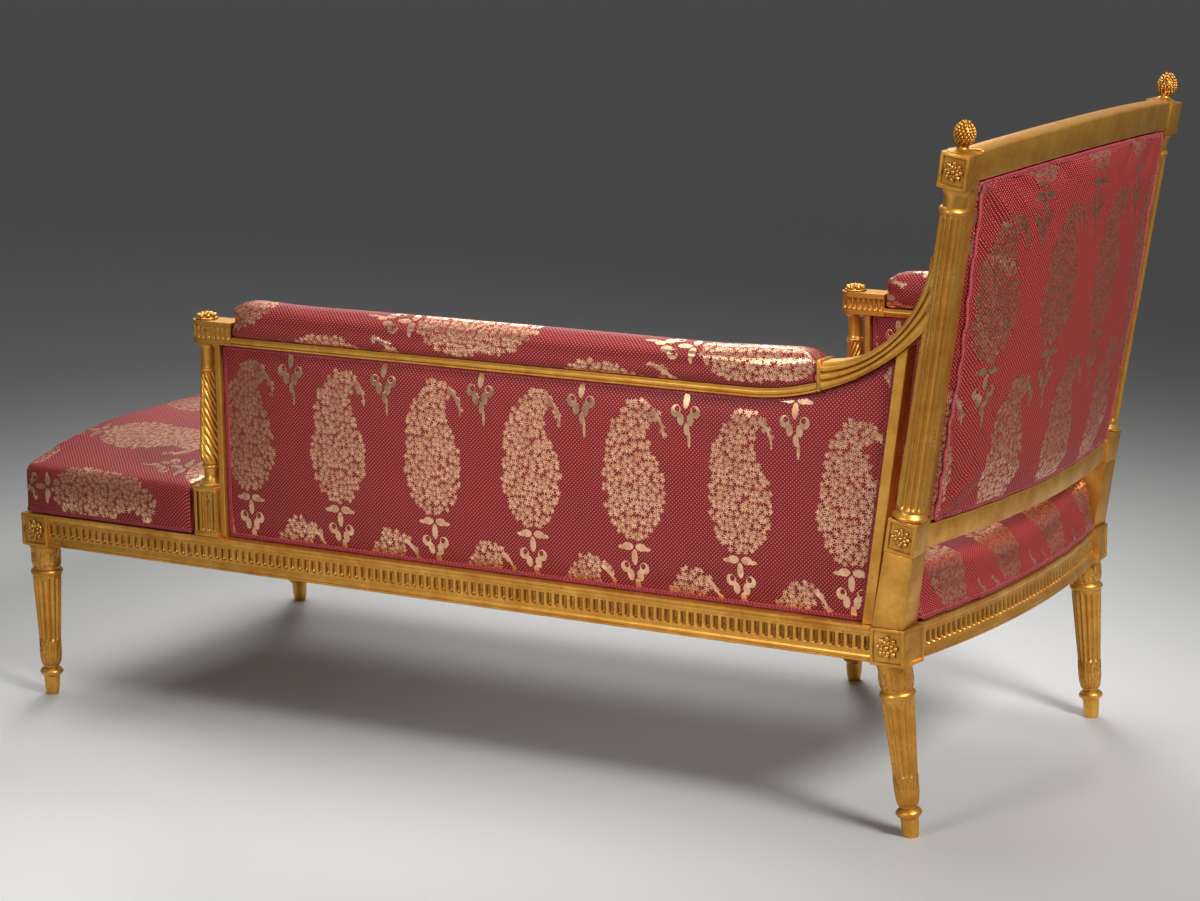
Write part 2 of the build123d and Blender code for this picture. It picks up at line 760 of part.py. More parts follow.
def crown_view(plane, start, end, face, edge, crown):
    """Strip from `start` to `end` on a plane, with one flat side and one side arched to its crown."""
    with BuildSketch(plane) as view:
        with BuildLine():
            Polyline((face + edge, start), (face, start), (face, end), (face + edge, end))
            ThreePointArc((face + edge, end), (face + crown, (start + end) / 2), (face + edge, start))
        make_face()
    return view.sketch


# Arm panels: two stiles, a canvas and a pad on each of its faces
for side, support_y, name in ((1, long_y, "long"), (-1, short_y, "short")):
    stile_front = support_y + plinth_size / 2
    panel_front = stile_front + stile_width + pad_clearance
    panel_floor = rail_top + pad_clearance
    with BuildPart() as front_stile:
        with BuildSketch(Plane.XY.offset(rail_top)):
            with Locations((side * leg_x, stile_front + stile_width / 2)):
                Rectangle(stile_depth, stile_width)
        extrude(amount=arm_bottom - rail_top)
    save(front_stile, f"{name}_front_stile")

    with BuildPart() as rear_stile:
        with BuildSketch(Plane.YZ.offset(side * leg_x)):
            with BuildLine():
                Polyline(
                    (rear_stile_edge(rail_top, rear_stile_width), rail_top),
                    (rear_stile_edge(rail_top, 0), rail_top),
                    (rear_stile_edge(arm_top_height, 0), arm_top_height),
                    (rear_stile_edge(arm_top_height, rear_stile_width), arm_top_height),
                    close=True,
                )
            make_face()
            with Locations((sweep_y, sweep_z)):
                Circle(arm_under_radius + fit_clearance, mode=Mode.SUBTRACT)
        extrude(amount=stile_depth / 2, both=True)
    save(rear_stile, f"{name}_rear_stile")

    outline = panel_outline(panel_front, rear_stile_width + pad_clearance, panel_floor, pad_clearance)
    with BuildPart() as canvas:
        extrude(outline, amount=reach)
        with BuildSketch(Plane.XZ):
            with Locations((leg_x, arm_bottom)):
                Rectangle(panel_canvas, reach)
        extrude(amount=reach, both=True, mode=Mode.INTERSECT)
        if side < 0:
            mirror(about=Plane.YZ, mode=Mode.REPLACE)
    save(canvas, f"{name}_panel_canvas")

    panel_rear = rear_stile_edge(arm_bottom, 0) + rear_stile_width
    panel_top = arm_bottom + (arm_top_height - arm_bottom) / 2
    for facing, where in ((1, "outer"), (-1, "inner")):
        face = leg_x + facing * (panel_canvas / 2 + pad_clearance)
        with BuildPart() as panel_pad:
            extrude(outline, amount=reach)
            edge = facing * panel_edge
            crown = facing * panel_crown
            plan = crown_view(Plane.XY, panel_front, panel_rear, face, edge, crown)
            extrude(plan, amount=reach, mode=Mode.INTERSECT)
            view = crown_view(Plane.XZ, panel_floor, panel_top, face, edge, crown)
            extrude(view, amount=reach, both=True, mode=Mode.INTERSECT)
            if side < 0:
                mirror(about=Plane.YZ, mode=Mode.REPLACE)
        save(panel_pad, f"{name}_{where}_pad")

# Arm pads, domed across and rolled at the ends, each lying on its band up to the collar of the sweep
for side, support_y, name in ((1, long_y, "long_arm_pad"), (-1, short_y, "short_arm_pad")):
    with BuildPart() as arm_pad:
        pad_front = support_y + arm_block_length + pad_clearance
        pad_rear = arm_pad_rear - pad_clearance
        pad_floor = arm_seat + pad_clearance
        band_radius = arm_under_radius - arm_band_height - pad_clearance
        rear_floor = sweep_z - sqrt(band_radius**2 - (pad_rear - sweep_y) ** 2)
        pad_top = arm_seat + arm_pad_height
        roll = (pad_front + arm_pad_end_roll, pad_top - arm_pad_end_drop / 6)
        with BuildSketch(Plane.YZ):
            with BuildLine():
                Line((sweep_y, pad_floor), (pad_front, pad_floor))
                Line((pad_front, pad_floor), (pad_front, pad_top - arm_pad_end_drop))
                bend = (pad_front + arm_pad_end_roll * 0.3, pad_top - arm_pad_end_drop * 0.45)
                ThreePointArc((pad_front, pad_top - arm_pad_end_drop), bend, roll)
                end_roll = (pad_rear - arm_pad_end_roll, pad_top - arm_pad_end_drop / 6)
                ThreePointArc(roll, ((pad_front + pad_rear) / 2, pad_top), end_roll)
                end_bend = (pad_rear - arm_pad_end_roll * 0.3, pad_top - arm_pad_end_drop * 0.45)
                ThreePointArc(end_roll, end_bend, (pad_rear, pad_top - arm_pad_end_drop))
                Line((pad_rear, pad_top - arm_pad_end_drop), (pad_rear, rear_floor))
                RadiusArc((pad_rear, rear_floor), (sweep_y, pad_floor), band_radius)
            make_face()
        extrude(amount=reach)
        half = arm_pad_width / 2
        seat_half = arm_width / 2
        with BuildSketch(Plane.XZ):
            with BuildLine():
                Polyline((leg_x - seat_half, arm_bottom), (leg_x + seat_half, arm_bottom))
                shoulder = arm_seat + arm_pad_shoulder
                ThreePointArc(
                    (leg_x + seat_half, arm_bottom),
                    (leg_x + half, (arm_seat + shoulder) / 2),
                    (leg_x + seat_half, shoulder),
                )
                ThreePointArc((leg_x + seat_half, shoulder), (leg_x, pad_top), (leg_x - seat_half, shoulder))
                ThreePointArc(
                    (leg_x - seat_half, shoulder),
                    (leg_x - half, (arm_seat + shoulder) / 2),
                    (leg_x - seat_half, arm_bottom),
                )
            make_face()
        extrude(amount=reach, both=True, mode=Mode.INTERSECT)
        if side < 0:
            mirror(about=Plane.YZ, mode=Mode.REPLACE)
    save(arm_pad, name)


def bow_crown(height, half):
    """Place of the bow's crown at a height, where the bow meets the post axis at this half width."""
    return post_point(height).Y + bow_radius - sqrt(bow_radius**2 - half**2)


def bowed_strip(height, front, rear, half, overrun=0.0):
    """Plan of the bowed back at a height: `front` and `rear` are measured back from the post axis."""
    crown_y = bow_crown(height, half)
    end_x = half + overrun
    end_y = crown_y - bow_radius + sqrt(bow_radius**2 - end_x**2)
    with BuildSketch(Plane.XY.offset(height)) as strip:
        with BuildLine():
            ThreePointArc((end_x, end_y + rear), (0, crown_y + rear), (-end_x, end_y + rear))
            Line((-end_x, end_y + rear), (-end_x, end_y + front))
            ThreePointArc((-end_x, end_y + front), (0, crown_y + front), (end_x, end_y + front))
            Line((end_x, end_y + front), (end_x, end_y + rear))
        make_face()
    return strip.sketch


def post_face(local_x, side):
    """Upright face of a post at a local X, as a plane that looks out of the chaise."""
    spot = post_plane.from_local_coords((local_x, 0, 0))
    normal = post_plane.x_dir
    return Plane((side * spot.X, spot.Y, spot.Z), z_dir=(side * normal.X, normal.Y, normal.Z))


# Height at which the arch of the crest's lower edge springs, beyond its ends, from the post axes
crest_spring = crest_bottom - crest_arch * ((leg_x / crest_end_inset) ** 2 - 1)


def under_arch(margin):
    """Front view of the room under the crest's arched lower edge."""
    spring = crest_spring - margin
    with BuildSketch(Plane.XZ) as room:
        with BuildLine():
            Polyline((leg_x, spring), (leg_x, 0), (-leg_x, 0), (-leg_x, spring))
            crown = (0, crest_bottom + crest_arch - margin)
            ThreePointArc((-leg_x, spring), crown, (leg_x, spring))
        make_face()
    return room.sketch


# Crest rail: bowed in plan, arched in front view, between the top dies
crest_rear = top_die_size / 2 - back_frame_inset
with BuildPart() as crest_rail:
    crest_low = crest_bottom - crest_arch
    crest_high = crest_bottom + crest_arch + crest_height
    crest_front = crest_rear - crest_depth
    ends = [bowed_strip(level, crest_front, crest_rear, leg_x) for level in (crest_low, crest_high)]
    loft(ends, ruled=True)
    with BuildSketch(Plane.XZ):
        with BuildLine():
            high_end = crest_spring + crest_height
            ThreePointArc((-leg_x, crest_spring), (0, crest_bottom + crest_arch), (leg_x, crest_spring))
            Line((leg_x, crest_spring), (leg_x, high_end))
            crown = (0, crest_bottom + crest_arch + crest_height)
            ThreePointArc((leg_x, high_end), crown, (-leg_x, high_end))
            Line((-leg_x, high_end), (-leg_x, crest_spring))
        make_face()
    extrude(amount=reach, both=True, mode=Mode.INTERSECT)
    for side in (1, -1):
        split(bisect_by=post_face(-top_die_size / 2, side), keep=Keep.BOTTOM)
save(crest_rail, "crest_rail")

# Lower back rail, between the upper rosette dies of the posts
with BuildPart() as back_lower_rail:
    rail_rear = post_stile_depth / 2
    levels = (lower_rail_bottom, lower_rail_bottom + lower_rail_height)
    loft([bowed_strip(z, rail_rear - lower_rail_depth, rail_rear, leg_x) for z in levels], ruled=True)
    for side in (1, -1):
        split(bisect_by=post_face(-post_die_size / 2, side), keep=Keep.BOTTOM)
save(back_lower_rail, "back_lower_rail")

# Back upholstery: canvas in the middle of the frame, a full pad in front and a thin one behind
back_floor = lower_rail_bottom + lower_rail_height + pad_clearance
back_ceiling = crest_bottom + crest_arch
back_middle = (back_floor + back_ceiling) / 2
canvas_half = back_canvas_thickness / 2


def back_half(height):
    """Half width of the back opening at a height, clear of the post stiles."""
    return post_point(height).X - post_stile_reach * post_x_dir.length - pad_clearance


with BuildPart() as back_canvas:
    floor_half = back_half(back_floor)
    rise_y = bow_crown(back_ceiling, back_half(back_ceiling)) - bow_crown(back_floor, floor_half)
    back_slope = Vector(0, rise_y, back_ceiling - back_floor)
    strip = bowed_strip(back_floor, -canvas_half, canvas_half, floor_half, overrun=post_stile_reach)
    extrude(strip, amount=back_slope.length, dir=back_slope)
    for side in (1, -1):
        split(bisect_by=post_face(-post_stile_reach - pad_clearance, side), keep=Keep.BOTTOM)
    extrude(under_arch(pad_clearance), amount=reach, both=True, mode=Mode.INTERSECT)
save(back_canvas, "back_canvas")

# Share of its crown that a back pad has at each height, up from its lower edge
pad_swell = (
    (back_floor, 0.0),
    (back_floor + back_pad_reach, 0.6),
    (back_middle, 1.0),
    (back_ceiling - 2 * back_pad_reach, 0.6),
    (back_ceiling, 0.0),
)
pad_face = canvas_half + pad_clearance
for name, facing, edge, crown in (
    ("back_rear_pad", 1, rear_pad_edge, rear_pad_crown),
    ("back_front_pad", -1, back_pad_edge, back_pad_crown),
):
    with BuildPart() as back_pad:
        strips = []
        for level, swell in pad_swell:
            faces = sorted((facing * pad_face, facing * (edge + crown * swell)))
            strips.append(bowed_strip(level, *faces, back_half(level)))
        loft(strips, ruled=True)
        extrude(under_arch(pad_clearance), amount=reach, both=True, mode=Mode.INTERSECT)
    save(back_pad, name)

# Seat: front view, side view and plan of the domed pad, notched for the arms
seat_floor = rail_top + pad_clearance
seat_front = front_rail_outer + seat_inset
seat_rear_radius = bow_radius - seat_inset
seat_rear = bow_centre_y + seat_rear_radius
open_half = rail_outer - seat_inset
inner_half = leg_x - panel_canvas / 2 - pad_clearance - panel_crown - seat_inner_gap
edge_z = seat_floor + seat_edge_height
with BuildPart() as seat_pad:
    with BuildSketch(Plane.XZ):
        with BuildLine():
            Line((-open_half, seat_floor), (open_half, seat_floor))
            side_swell = (open_half + seat_bulge, (seat_floor + edge_z) / 2)
            ThreePointArc((open_half, seat_floor), side_swell, (open_half, edge_z))
            ThreePointArc((open_half, edge_z), (0, seat_floor + seat_crown), (-open_half, edge_z))
            far_swell = (-open_half - seat_bulge, (seat_floor + edge_z) / 2)
            ThreePointArc((-open_half, edge_z), far_swell, (-open_half, seat_floor))
        make_face()
    extrude(amount=reach, both=True)
    with BuildSketch(Plane.YZ):
        with BuildLine():
            front_top = seat_floor + seat_crown - seat_front_roll
            roll_top = (seat_front + 2 * seat_front_roll, seat_floor + seat_crown - seat_front_roll / 2)
            rear_top = (seat_rear - seat_front_roll, seat_floor + seat_rear_height)
            Line((seat_rear, seat_floor), (seat_front, seat_floor))
            swell = (seat_front - seat_bulge, (seat_floor + front_top) / 2)
            ThreePointArc((seat_front, seat_floor), swell, (seat_front, front_top - seat_front_roll / 2))
            bend = (seat_front + seat_front_roll / 2, front_top + seat_front_roll / 6)
            ThreePointArc((seat_front, front_top - seat_front_roll / 2), bend, roll_top)
            ThreePointArc(roll_top, (front_y / 3, seat_floor + seat_crown), rear_top)
            rear_bend = (seat_rear - seat_bulge / 2, seat_floor + seat_rear_height * 0.7)
            ThreePointArc(rear_top, rear_bend, (seat_rear, seat_floor))
        make_face()
    extrude(amount=reach, both=True, mode=Mode.INTERSECT)
    with BuildSketch(Plane.XY):
        with BuildLine():
            long_notch = long_y - plinth_size / 2 - seat_bulge
            short_notch = short_y - plinth_size / 2 - seat_bulge
            side_rear = bow_centre_y + sqrt(seat_rear_radius**2 - inner_half**2)
            Polyline(
                (-inner_half, side_rear),
                (-inner_half, short_notch),
                (-open_half - seat_bulge, short_notch),
                (-open_half - seat_bulge, seat_front - seat_bulge),
                (open_half + seat_bulge, seat_front - seat_bulge),
                (open_half + seat_bulge, long_notch),
                (inner_half, long_notch),
                (inner_half, side_rear),
            )
            ThreePointArc((inner_half, side_rear), (0, seat_rear), (-inner_half, side_rear))
        make_face()
        front_corners = vertices().group_by(Axis.Y)[0]
        fillet(front_corners, seat_corner_radius)
    extrude(amount=reach, mode=Mode.INTERSECT)
save(seat_pad, "seat_pad")

# Seat platform: webbing laced in two layers on the rail rebates, then hessian
web_rear_radius = bow_radius - rail_depth + rebate_width / 2
web_front = front_rail_outer + rail_depth - rebate_width / 2
die_notch = die_size + 2 * fit_clearance
die_corners = [(x, y) for x in (-leg_x, leg_x) for y in (front_y, rear_y)]
die_places = [*die_corners, (-leg_x, short_y)]
with BuildPart() as seat_webbing:
    with BuildSketch(Plane.XY.offset(rebate_floor)):
        for index in range(web_count_long):
            strip_x = (index - (web_count_long - 1) / 2) * web_pitch_long
            strip_rear = bow_centre_y + sqrt(web_rear_radius**2 - strip_x**2)
            with Locations((strip_x, (web_front + strip_rear) / 2)):
                Rectangle(web_width, strip_rear - web_front)
    extrude(amount=web_thickness)
    with BuildSketch(Plane.XY.offset(rebate_floor + web_thickness)):
        with Locations((0, mid_y)):
            with GridLocations(1, web_pitch_cross, 1, web_count_cross):
                Rectangle(2 * rail_inner + rebate_width, web_width)
        with Locations(*die_places):
            Rectangle(die_notch, die_notch, mode=Mode.SUBTRACT)
    extrude(amount=web_thickness)
save(seat_webbing, "seat_webbing")

with BuildPart() as seat_hessian:
    with BuildSketch(Plane.XY.offset(rebate_floor + 2 * web_thickness)):
        with BuildLine():
            half = rail_inner + rebate_width / 2
            side_rear = bow_centre_y + sqrt(web_rear_radius**2 - half**2)
            rear_crown = bow_centre_y + web_rear_radius
            Polyline((-half, side_rear), (-half, web_front), (half, web_front), (half, side_rear))
            ThreePointArc((half, side_rear), (0, rear_crown), (-half, side_rear))
        make_face()
        with Locations(*die_places):
            Rectangle(die_notch, die_notch, mode=Mode.SUBTRACT)
    extrude(amount=hessian_thickness)
save(seat_hessian, "seat_hessian")

# Cross rail under the webbing, and glued blocks in the corners of the seat frame
with BuildPart() as cross_rail:
    cross_top = rebate_floor - rail_lip
    cross_y = mid_y + web_pitch_cross / 2
    with BuildSketch(Plane.XY.offset(cross_top - cross_rail_height)):
        with Locations((0, cross_y)):
            Rectangle(2 * rail_inner, cross_rail_depth)
    extrude(amount=cross_rail_height)
save(cross_rail, "cross_rail")

with BuildPart() as corner_blocks:
    block_floor = rail_bottom + rail_lip
    inner_front = front_rail_outer + rail_depth
    for side in (1, -1):
        with BuildSketch(Plane.XY.offset(block_floor)):
            with BuildLine():
                Polyline(
                    (side * rail_inner, inner_front + corner_block_notch),
                    (side * rail_inner, inner_front + corner_block_leg),
                    (side * (rail_inner - corner_block_leg), inner_front),
                    (side * (rail_inner - corner_block_notch), inner_front),
                    close=True,
                )
            make_face()
        extrude(amount=corner_block_height)
        rear_touch_x = rail_inner - corner_block_leg
        notch_x = rail_inner - corner_block_notch
        rear_touch_y = bow_centre_y + sqrt((bow_radius - rail_depth) ** 2 - notch_x**2) - pad_clearance
        with BuildSketch(Plane.XY.offset(block_floor)):
            with BuildLine():
                Polyline(
                    (side * rail_inner, rail_end - corner_block_notch / 2),
                    (side * rail_inner, rail_end - corner_block_leg),
                    (side * rear_touch_x, rear_touch_y),
                    (side * (die_inner - corner_block_notch / 2), rear_touch_y),
                    (side * (die_inner - corner_block_notch / 2), rail_end - corner_block_notch / 2),
                    close=True,
                )
            make_face()
        extrude(amount=corner_block_height)
save(corner_blocks, "corner_blocks")
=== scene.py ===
"""Gilded chaise longue in paisley silk brocade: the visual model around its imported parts.

Laid out as an add-on: properties hold the sizes and colours, each group of like pieces has an
operator, and main() calls them in order. Shapes are drawn in millimetres in the shared frame, and
finish_piece() turns them to metres.
"""
from math import atan2, copysign, cos, pi, radians, sin, sqrt, tan

import bmesh
import bpy
from bpy.props import FloatProperty, FloatVectorProperty, IntProperty, PointerProperty
from mathutils import Matrix, Vector
from mathutils.bvhtree import BVHTree


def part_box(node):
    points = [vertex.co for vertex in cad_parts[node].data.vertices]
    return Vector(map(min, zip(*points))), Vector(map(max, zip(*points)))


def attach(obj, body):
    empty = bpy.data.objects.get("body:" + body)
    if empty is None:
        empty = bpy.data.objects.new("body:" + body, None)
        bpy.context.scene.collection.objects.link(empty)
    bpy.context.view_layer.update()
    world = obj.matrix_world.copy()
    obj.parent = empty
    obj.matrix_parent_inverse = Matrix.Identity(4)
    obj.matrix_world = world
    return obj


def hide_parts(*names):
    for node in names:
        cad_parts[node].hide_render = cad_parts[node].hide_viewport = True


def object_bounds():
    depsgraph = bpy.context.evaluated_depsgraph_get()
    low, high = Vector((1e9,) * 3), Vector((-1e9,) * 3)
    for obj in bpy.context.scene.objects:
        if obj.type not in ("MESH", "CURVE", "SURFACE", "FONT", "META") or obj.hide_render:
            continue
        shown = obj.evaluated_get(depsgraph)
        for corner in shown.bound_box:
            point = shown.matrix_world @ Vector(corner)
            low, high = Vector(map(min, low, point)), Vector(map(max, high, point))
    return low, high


bl_info = {
    "name": "Gilded Chaise Longue",
    "version": (1, 0, 0),
    "blender": (4, 5, 0),
    "location": "View3D > Sidebar > Chaise",
    "description": "Builds the carved, gilded and upholstered pieces of a chaise longue",
    "category": "Add Mesh",
}

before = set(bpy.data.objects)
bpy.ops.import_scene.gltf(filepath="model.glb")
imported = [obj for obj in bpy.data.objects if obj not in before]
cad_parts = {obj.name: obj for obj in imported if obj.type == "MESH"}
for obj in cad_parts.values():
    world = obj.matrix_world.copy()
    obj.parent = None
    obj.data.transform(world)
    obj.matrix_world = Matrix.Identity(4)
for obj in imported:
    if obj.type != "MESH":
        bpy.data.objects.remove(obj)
CAD_LOW, CAD_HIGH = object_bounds()
MM = 0.001


def box_mm(node):
    """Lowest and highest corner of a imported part, in millimetres."""
    low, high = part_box(node)
    return low / MM, high / MM


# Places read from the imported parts, in millimetres
LEG_LOW, LEG_HIGH = box_mm("front_leg_near")
RAIL_LOW, RAIL_HIGH = box_mm("side_rail_near")
BOW_HIGH = box_mm("rear_rail")[1]
LONG_LOW, LONG_HIGH = box_mm("arm_support_near")
SHORT_LOW, SHORT_HIGH = box_mm("arm_support_far")
DIE = LEG_HIGH.x - LEG_LOW.x
LEG_X = (LEG_LOW.x + LEG_HIGH.x) / 2
FRONT_Y = (LEG_LOW.y + LEG_HIGH.y) / 2
RAIL_TOP = LEG_HIGH.z
RAIL_BOTTOM = RAIL_LOW.z
RAIL_DEPTH = RAIL_HIGH.x - RAIL_LOW.x
LONG_Y = (LONG_LOW.y + LONG_HIGH.y) / 2
SHORT_Y = (SHORT_LOW.y + SHORT_HIGH.y) / 2
ARM_BOTTOM = box_mm("long_arm")[0].z
TOP = CAD_HIGH.z / MM

# Small sizes of the carving, in millimetres: how far a die reaches below the rail, where a rail's
# fluted band starts, and how deep the framed field of a die is sunk
DIE_BOTTOM = RAIL_BOTTOM - 3
FRIEZE_BOTTOM = RAIL_BOTTOM + 14
FIELD_SINK = 2.4

# Frames that the cloth of a pad has to swell
CLOTH_FRAMES = 20

# Where the first boteh of the arm panels stands, along the chaise and up, in millimetres
BOTEH_Y, BOTEH_Z = -236, 473

# Softboxes: name, place, aim and width in metres, power in watts, spread in degrees. The key lights
# the near floor, which the gold thread of the near panel mirrors.
SOFTBOXES = (
    ("key_softbox", (2.6, -0.1, 2.8), (2.3, -0.3, 0.0), 0.9, 17, 66),
    ("side_softbox", (3.0, -0.2, 1.7), (0.35, 0.2, 0.6), 1.0, 3.3, 40),
    ("fill_softbox", (1.4, 3.6, 3.2), (0, 0.8, 0.8), 1.4, 18, 46),
    ("top_softbox", (-0.6, -0.6, 3.8), (0, -0.3, 0.4), 3.2, 23, 60),
    ("far_softbox", (-2.8, -1.8, 2.8), (-0.3, -0.2, 0.6), 1.6, 5, 46),
)

# Camera: place in metres, sensor and lens in millimetres, yaw, pitch and roll in degrees
CAMERA_PLACE = (4.36715, 2.62104, 1.50625)
CAMERA_SENSOR, CAMERA_LENS = 36.0, 96.52
CAMERA_TURN = (210.805, 11.896, -0.722)


def linear(colour):
    """Linear RGBA of an sRGB hex colour."""
    channels = [int(colour[start:start + 2], 16) / 255 for start in (1, 3, 5)]
    return (*[c / 12.92 if c <= 0.04045 else ((c + 0.055) / 1.055) ** 2.4 for c in channels], 1.0)


def length(name, default, description):
    """A length property, with its default in millimetres."""
    return FloatProperty(name=name, description=description, default=default * MM, unit="LENGTH", precision=4)


def angle(name, default, description):
    """An angle property, with its default in degrees."""
    return FloatProperty(name=name, description=description, default=radians(default), subtype="ANGLE")


def colour(name, default, description):
    """A colour property, with its default as an sRGB hex value."""
    return FloatVectorProperty(
        name=name, description=description, default=linear(default), size=4, subtype="COLOR", min=0, max=1
    )


class ChaiseSizes(bpy.types.PropertyGroup):
    """Sizes of the carved frame and of the upholstery."""

    post_rake: angle("Post rake", 9, "How far the rear posts lean back")
    post_splay: angle("Post splay", 2, "How far the rear posts lean out")
    block: length("Post block", 49, "Width of the plain block above the rear die")
    block_top: length("Post block top", 45, "Width of the plain block at its top")
    block_height: length("Post block height", 112, "Height of the plain block")
    post_die: length("Post die", 46, "Width of the carved die on the rear post")
    post_die_height: length("Post die height", 50, "Height of the carved die on the rear post")
    column_radius: length("Column radius", 21, "Radius of the fluted post column at its foot")
    column_top_radius: length("Column top radius", 18.5, "Radius of the fluted post column at its head")
    stile_reach: length("Post stile reach", 36, "How far the post's stile stands in from its axis")
    stile_depth: length("Post stile depth", 32, "Depth of the post's stile")
    neck_height: length("Post neck height", 36, "Height of the ring and neck under the top die")
    top_die: length("Top die", 44, "Width of the die under the finial")
    top_die_height: length("Top die height", 50, "Height of the die under the finial")
    finial_height: length("Finial height", 43, "Height of the pinecone finial")
    cone_radius: length("Pinecone radius", 16.3, "Radius of the pinecone")
    rear_foot_back: length("Rear foot back", 22, "How far a rear foot stands behind its die")
    rear_foot_in: length("Rear foot in", 13, "How far a rear foot stands in from its die")
    leg_flutes: IntProperty(name="Leg flutes", description="Flutes round a leg or column", default=16, min=6)
    tenon: length("Tenon", 20, "Length of a rail's tenon, which is hidden in the die")
    frieze_height: length("Frieze height", 25, "Height of the fluted band of a rail")
    frieze_recess: length("Frieze recess", 4, "How far the fluted band lies behind the mouldings")
    flute_pitch: length("Flute pitch", 13.6, "Spacing of the flutes of a rail")
    flute_width: length("Flute width", 9.2, "Width of a flute of a rail")
    flute_depth: length("Flute depth", 5.6, "Depth of a flute of a rail")
    bow_radius: length("Bow radius", 1800, "Radius of the bowed rear rail and back")
    arm_width: length("Arm width", 44, "Width of an arm")
    arm_block_height: length("Arm block height", 36, "Height of the block over the arm support")
    arm_block_length: length("Arm block length", 62, "Length of the block behind the support's axis")
    arm_band: length("Arm band", 13, "Height of the band under the arm pad")
    arm_sweep_start: length("Arm sweep start", 229, "Where the arm starts to rise, in front of the post")
    arm_under_radius: length("Arm under radius", 400, "Radius of the arm's lower edge")
    arm_top_radius: length("Arm top radius", 191, "Radius of the hollow above the arm's sweep")
    arm_top_back: length("Arm top back", 119, "Middle of that hollow, in front of the post")
    arm_top_height: length("Arm top height", 880, "Height of the middle of that hollow")
    arm_collar: length("Arm collar", 114, "Where the arm pad ends, in front of the post")
    arm_splay: length("Arm splay", 17, "How far an arm curves out to the leaning post")
    plinth: length("Plinth", 47, "Width of an arm support's plinth")
    plinth_height: length("Plinth height", 82, "Height of an arm support's plinth")
    bell_height: length("Bell height", 35, "Height of the bell and bead over the plinth")
    baluster_height: length("Baluster height", 150, "Height of the spiral baluster")
    baluster_radius: length("Baluster radius", 20, "Radius of the spiral baluster at its swell")
    baluster_turn: angle("Baluster turn", 330, "How far the spiral flutes turn as they rise")
    rear_stile_rake: angle("Rear stile rake", 7.5, "How far the stile behind an arm panel leans back")
    rear_stile: length("Rear stile", 18.5, "Width of the stile behind an arm panel with its gap")
    back_proud: length("Back proud", 13, "How far the back's rear cover stands out of its frame")
    gimp_radius: length("Gimp radius", 1.7, "Radius of one strand of the braided gimp")
    gimp_pitch: length("Gimp pitch", 12, "Length of one turn of the braided gimp")


class ChaiseCloth(bpy.types.PropertyGroup):
    """Sizes of the woven pattern."""

    repeat_width: length("Repeat width", 177, "Spacing of the botehs in a row")
    repeat_height: length("Repeat height", 488, "Height of the repeat, which holds two rows")
    floret: length("Floret", 7.6, "Spacing of the florets that fill a boteh")
    dot: length("Dot spacing", 4.4, "Spacing of the dots of the ground weave")


class ChaiseColours(bpy.types.PropertyGroup):
    """Colours of the finishes and of the stage."""

    gold: colour("Gold leaf", "#EDB352", "Burnished gold leaf")
    gold_dim: colour("Dull gold", "#BC7C2A", "Gold leaf that has lost its burnish")
    bole: colour("Bole", "#7A2E18", "Red clay that shows where the leaf is worn")
    # The patina colour is partly real dirt and partly painted shade: the gilding lays it into the hollows by
    # ambient occlusion
    hollow_dirt_and_shade: colour("Patina", "#5A3410", "Dirt and painted shade in the hollows")
    crimson: colour("Crimson silk", "#780A15", "Ground of the brocade")
    crimson_deep: colour("Deep crimson", "#5E060F", "Shaded threads of the ground")
    rose: colour("Rose thread", "#F07A6A", "Pale thread that dots the ground")
    thread: colour("Gold thread", "#FBCDA6", "Thread of the botehs")
    thread_dim: colour("Dull gold thread", "#D09A72", "Thread of the florets that lie deeper")
    braid: colour("Gimp", "#A82434", "Braided trim")
    canvas: colour("Linen", "#B8A684", "Canvas and hessian under the cover")
    jute: colour("Jute", "#8C7048", "Webbing under the seat")
    beech: colour("Beech", "#A87C4C", "Bare wood inside the seat frame")
    floor: colour("Floor", "#C2C2C1", "Pale studio floor")
    backdrop: colour("Backdrop", "#7C7C7D", "Grey studio background")


def size(name):
    """A length of the frame in millimetres, or another of its sizes as it is."""
    sizes = bpy.context.scene.chaise_sizes
    value = getattr(sizes, name)
    return value / MM if sizes.bl_rna.properties[name].unit == "LENGTH" else value


def rear_die_y():
    """Place of the rear dies along the chaise, in millimetres."""
    return RAIL_HIGH.y - size("tenon") + DIE / 2


def tint(name):
    """A colour of the finishes, as linear RGBA."""
    return tuple(getattr(bpy.context.scene.chaise_colours, name))


def add(tree, kind, sockets=None, **settings):
    """Add a shader node with its settings; a socket takes a value, an output or a node's first output."""
    made = tree.nodes.new("ShaderNode" + kind)
    for name, value in settings.items():
        setattr(made, name, value)
    for key, value in (sockets or {}).items():
        if isinstance(value, bpy.types.Node):
            value = value.outputs[0]
        if isinstance(value, bpy.types.NodeSocket):
            tree.links.new(value, made.inputs[key])
        else:
            made.inputs[key].default_value = value
    return made


def new_material(name):
    """Empty node material and its tree."""
    material = bpy.data.materials.new(name)
    material.use_nodes = True
    tree = material.node_tree
    tree.nodes.clear()
    return material, tree


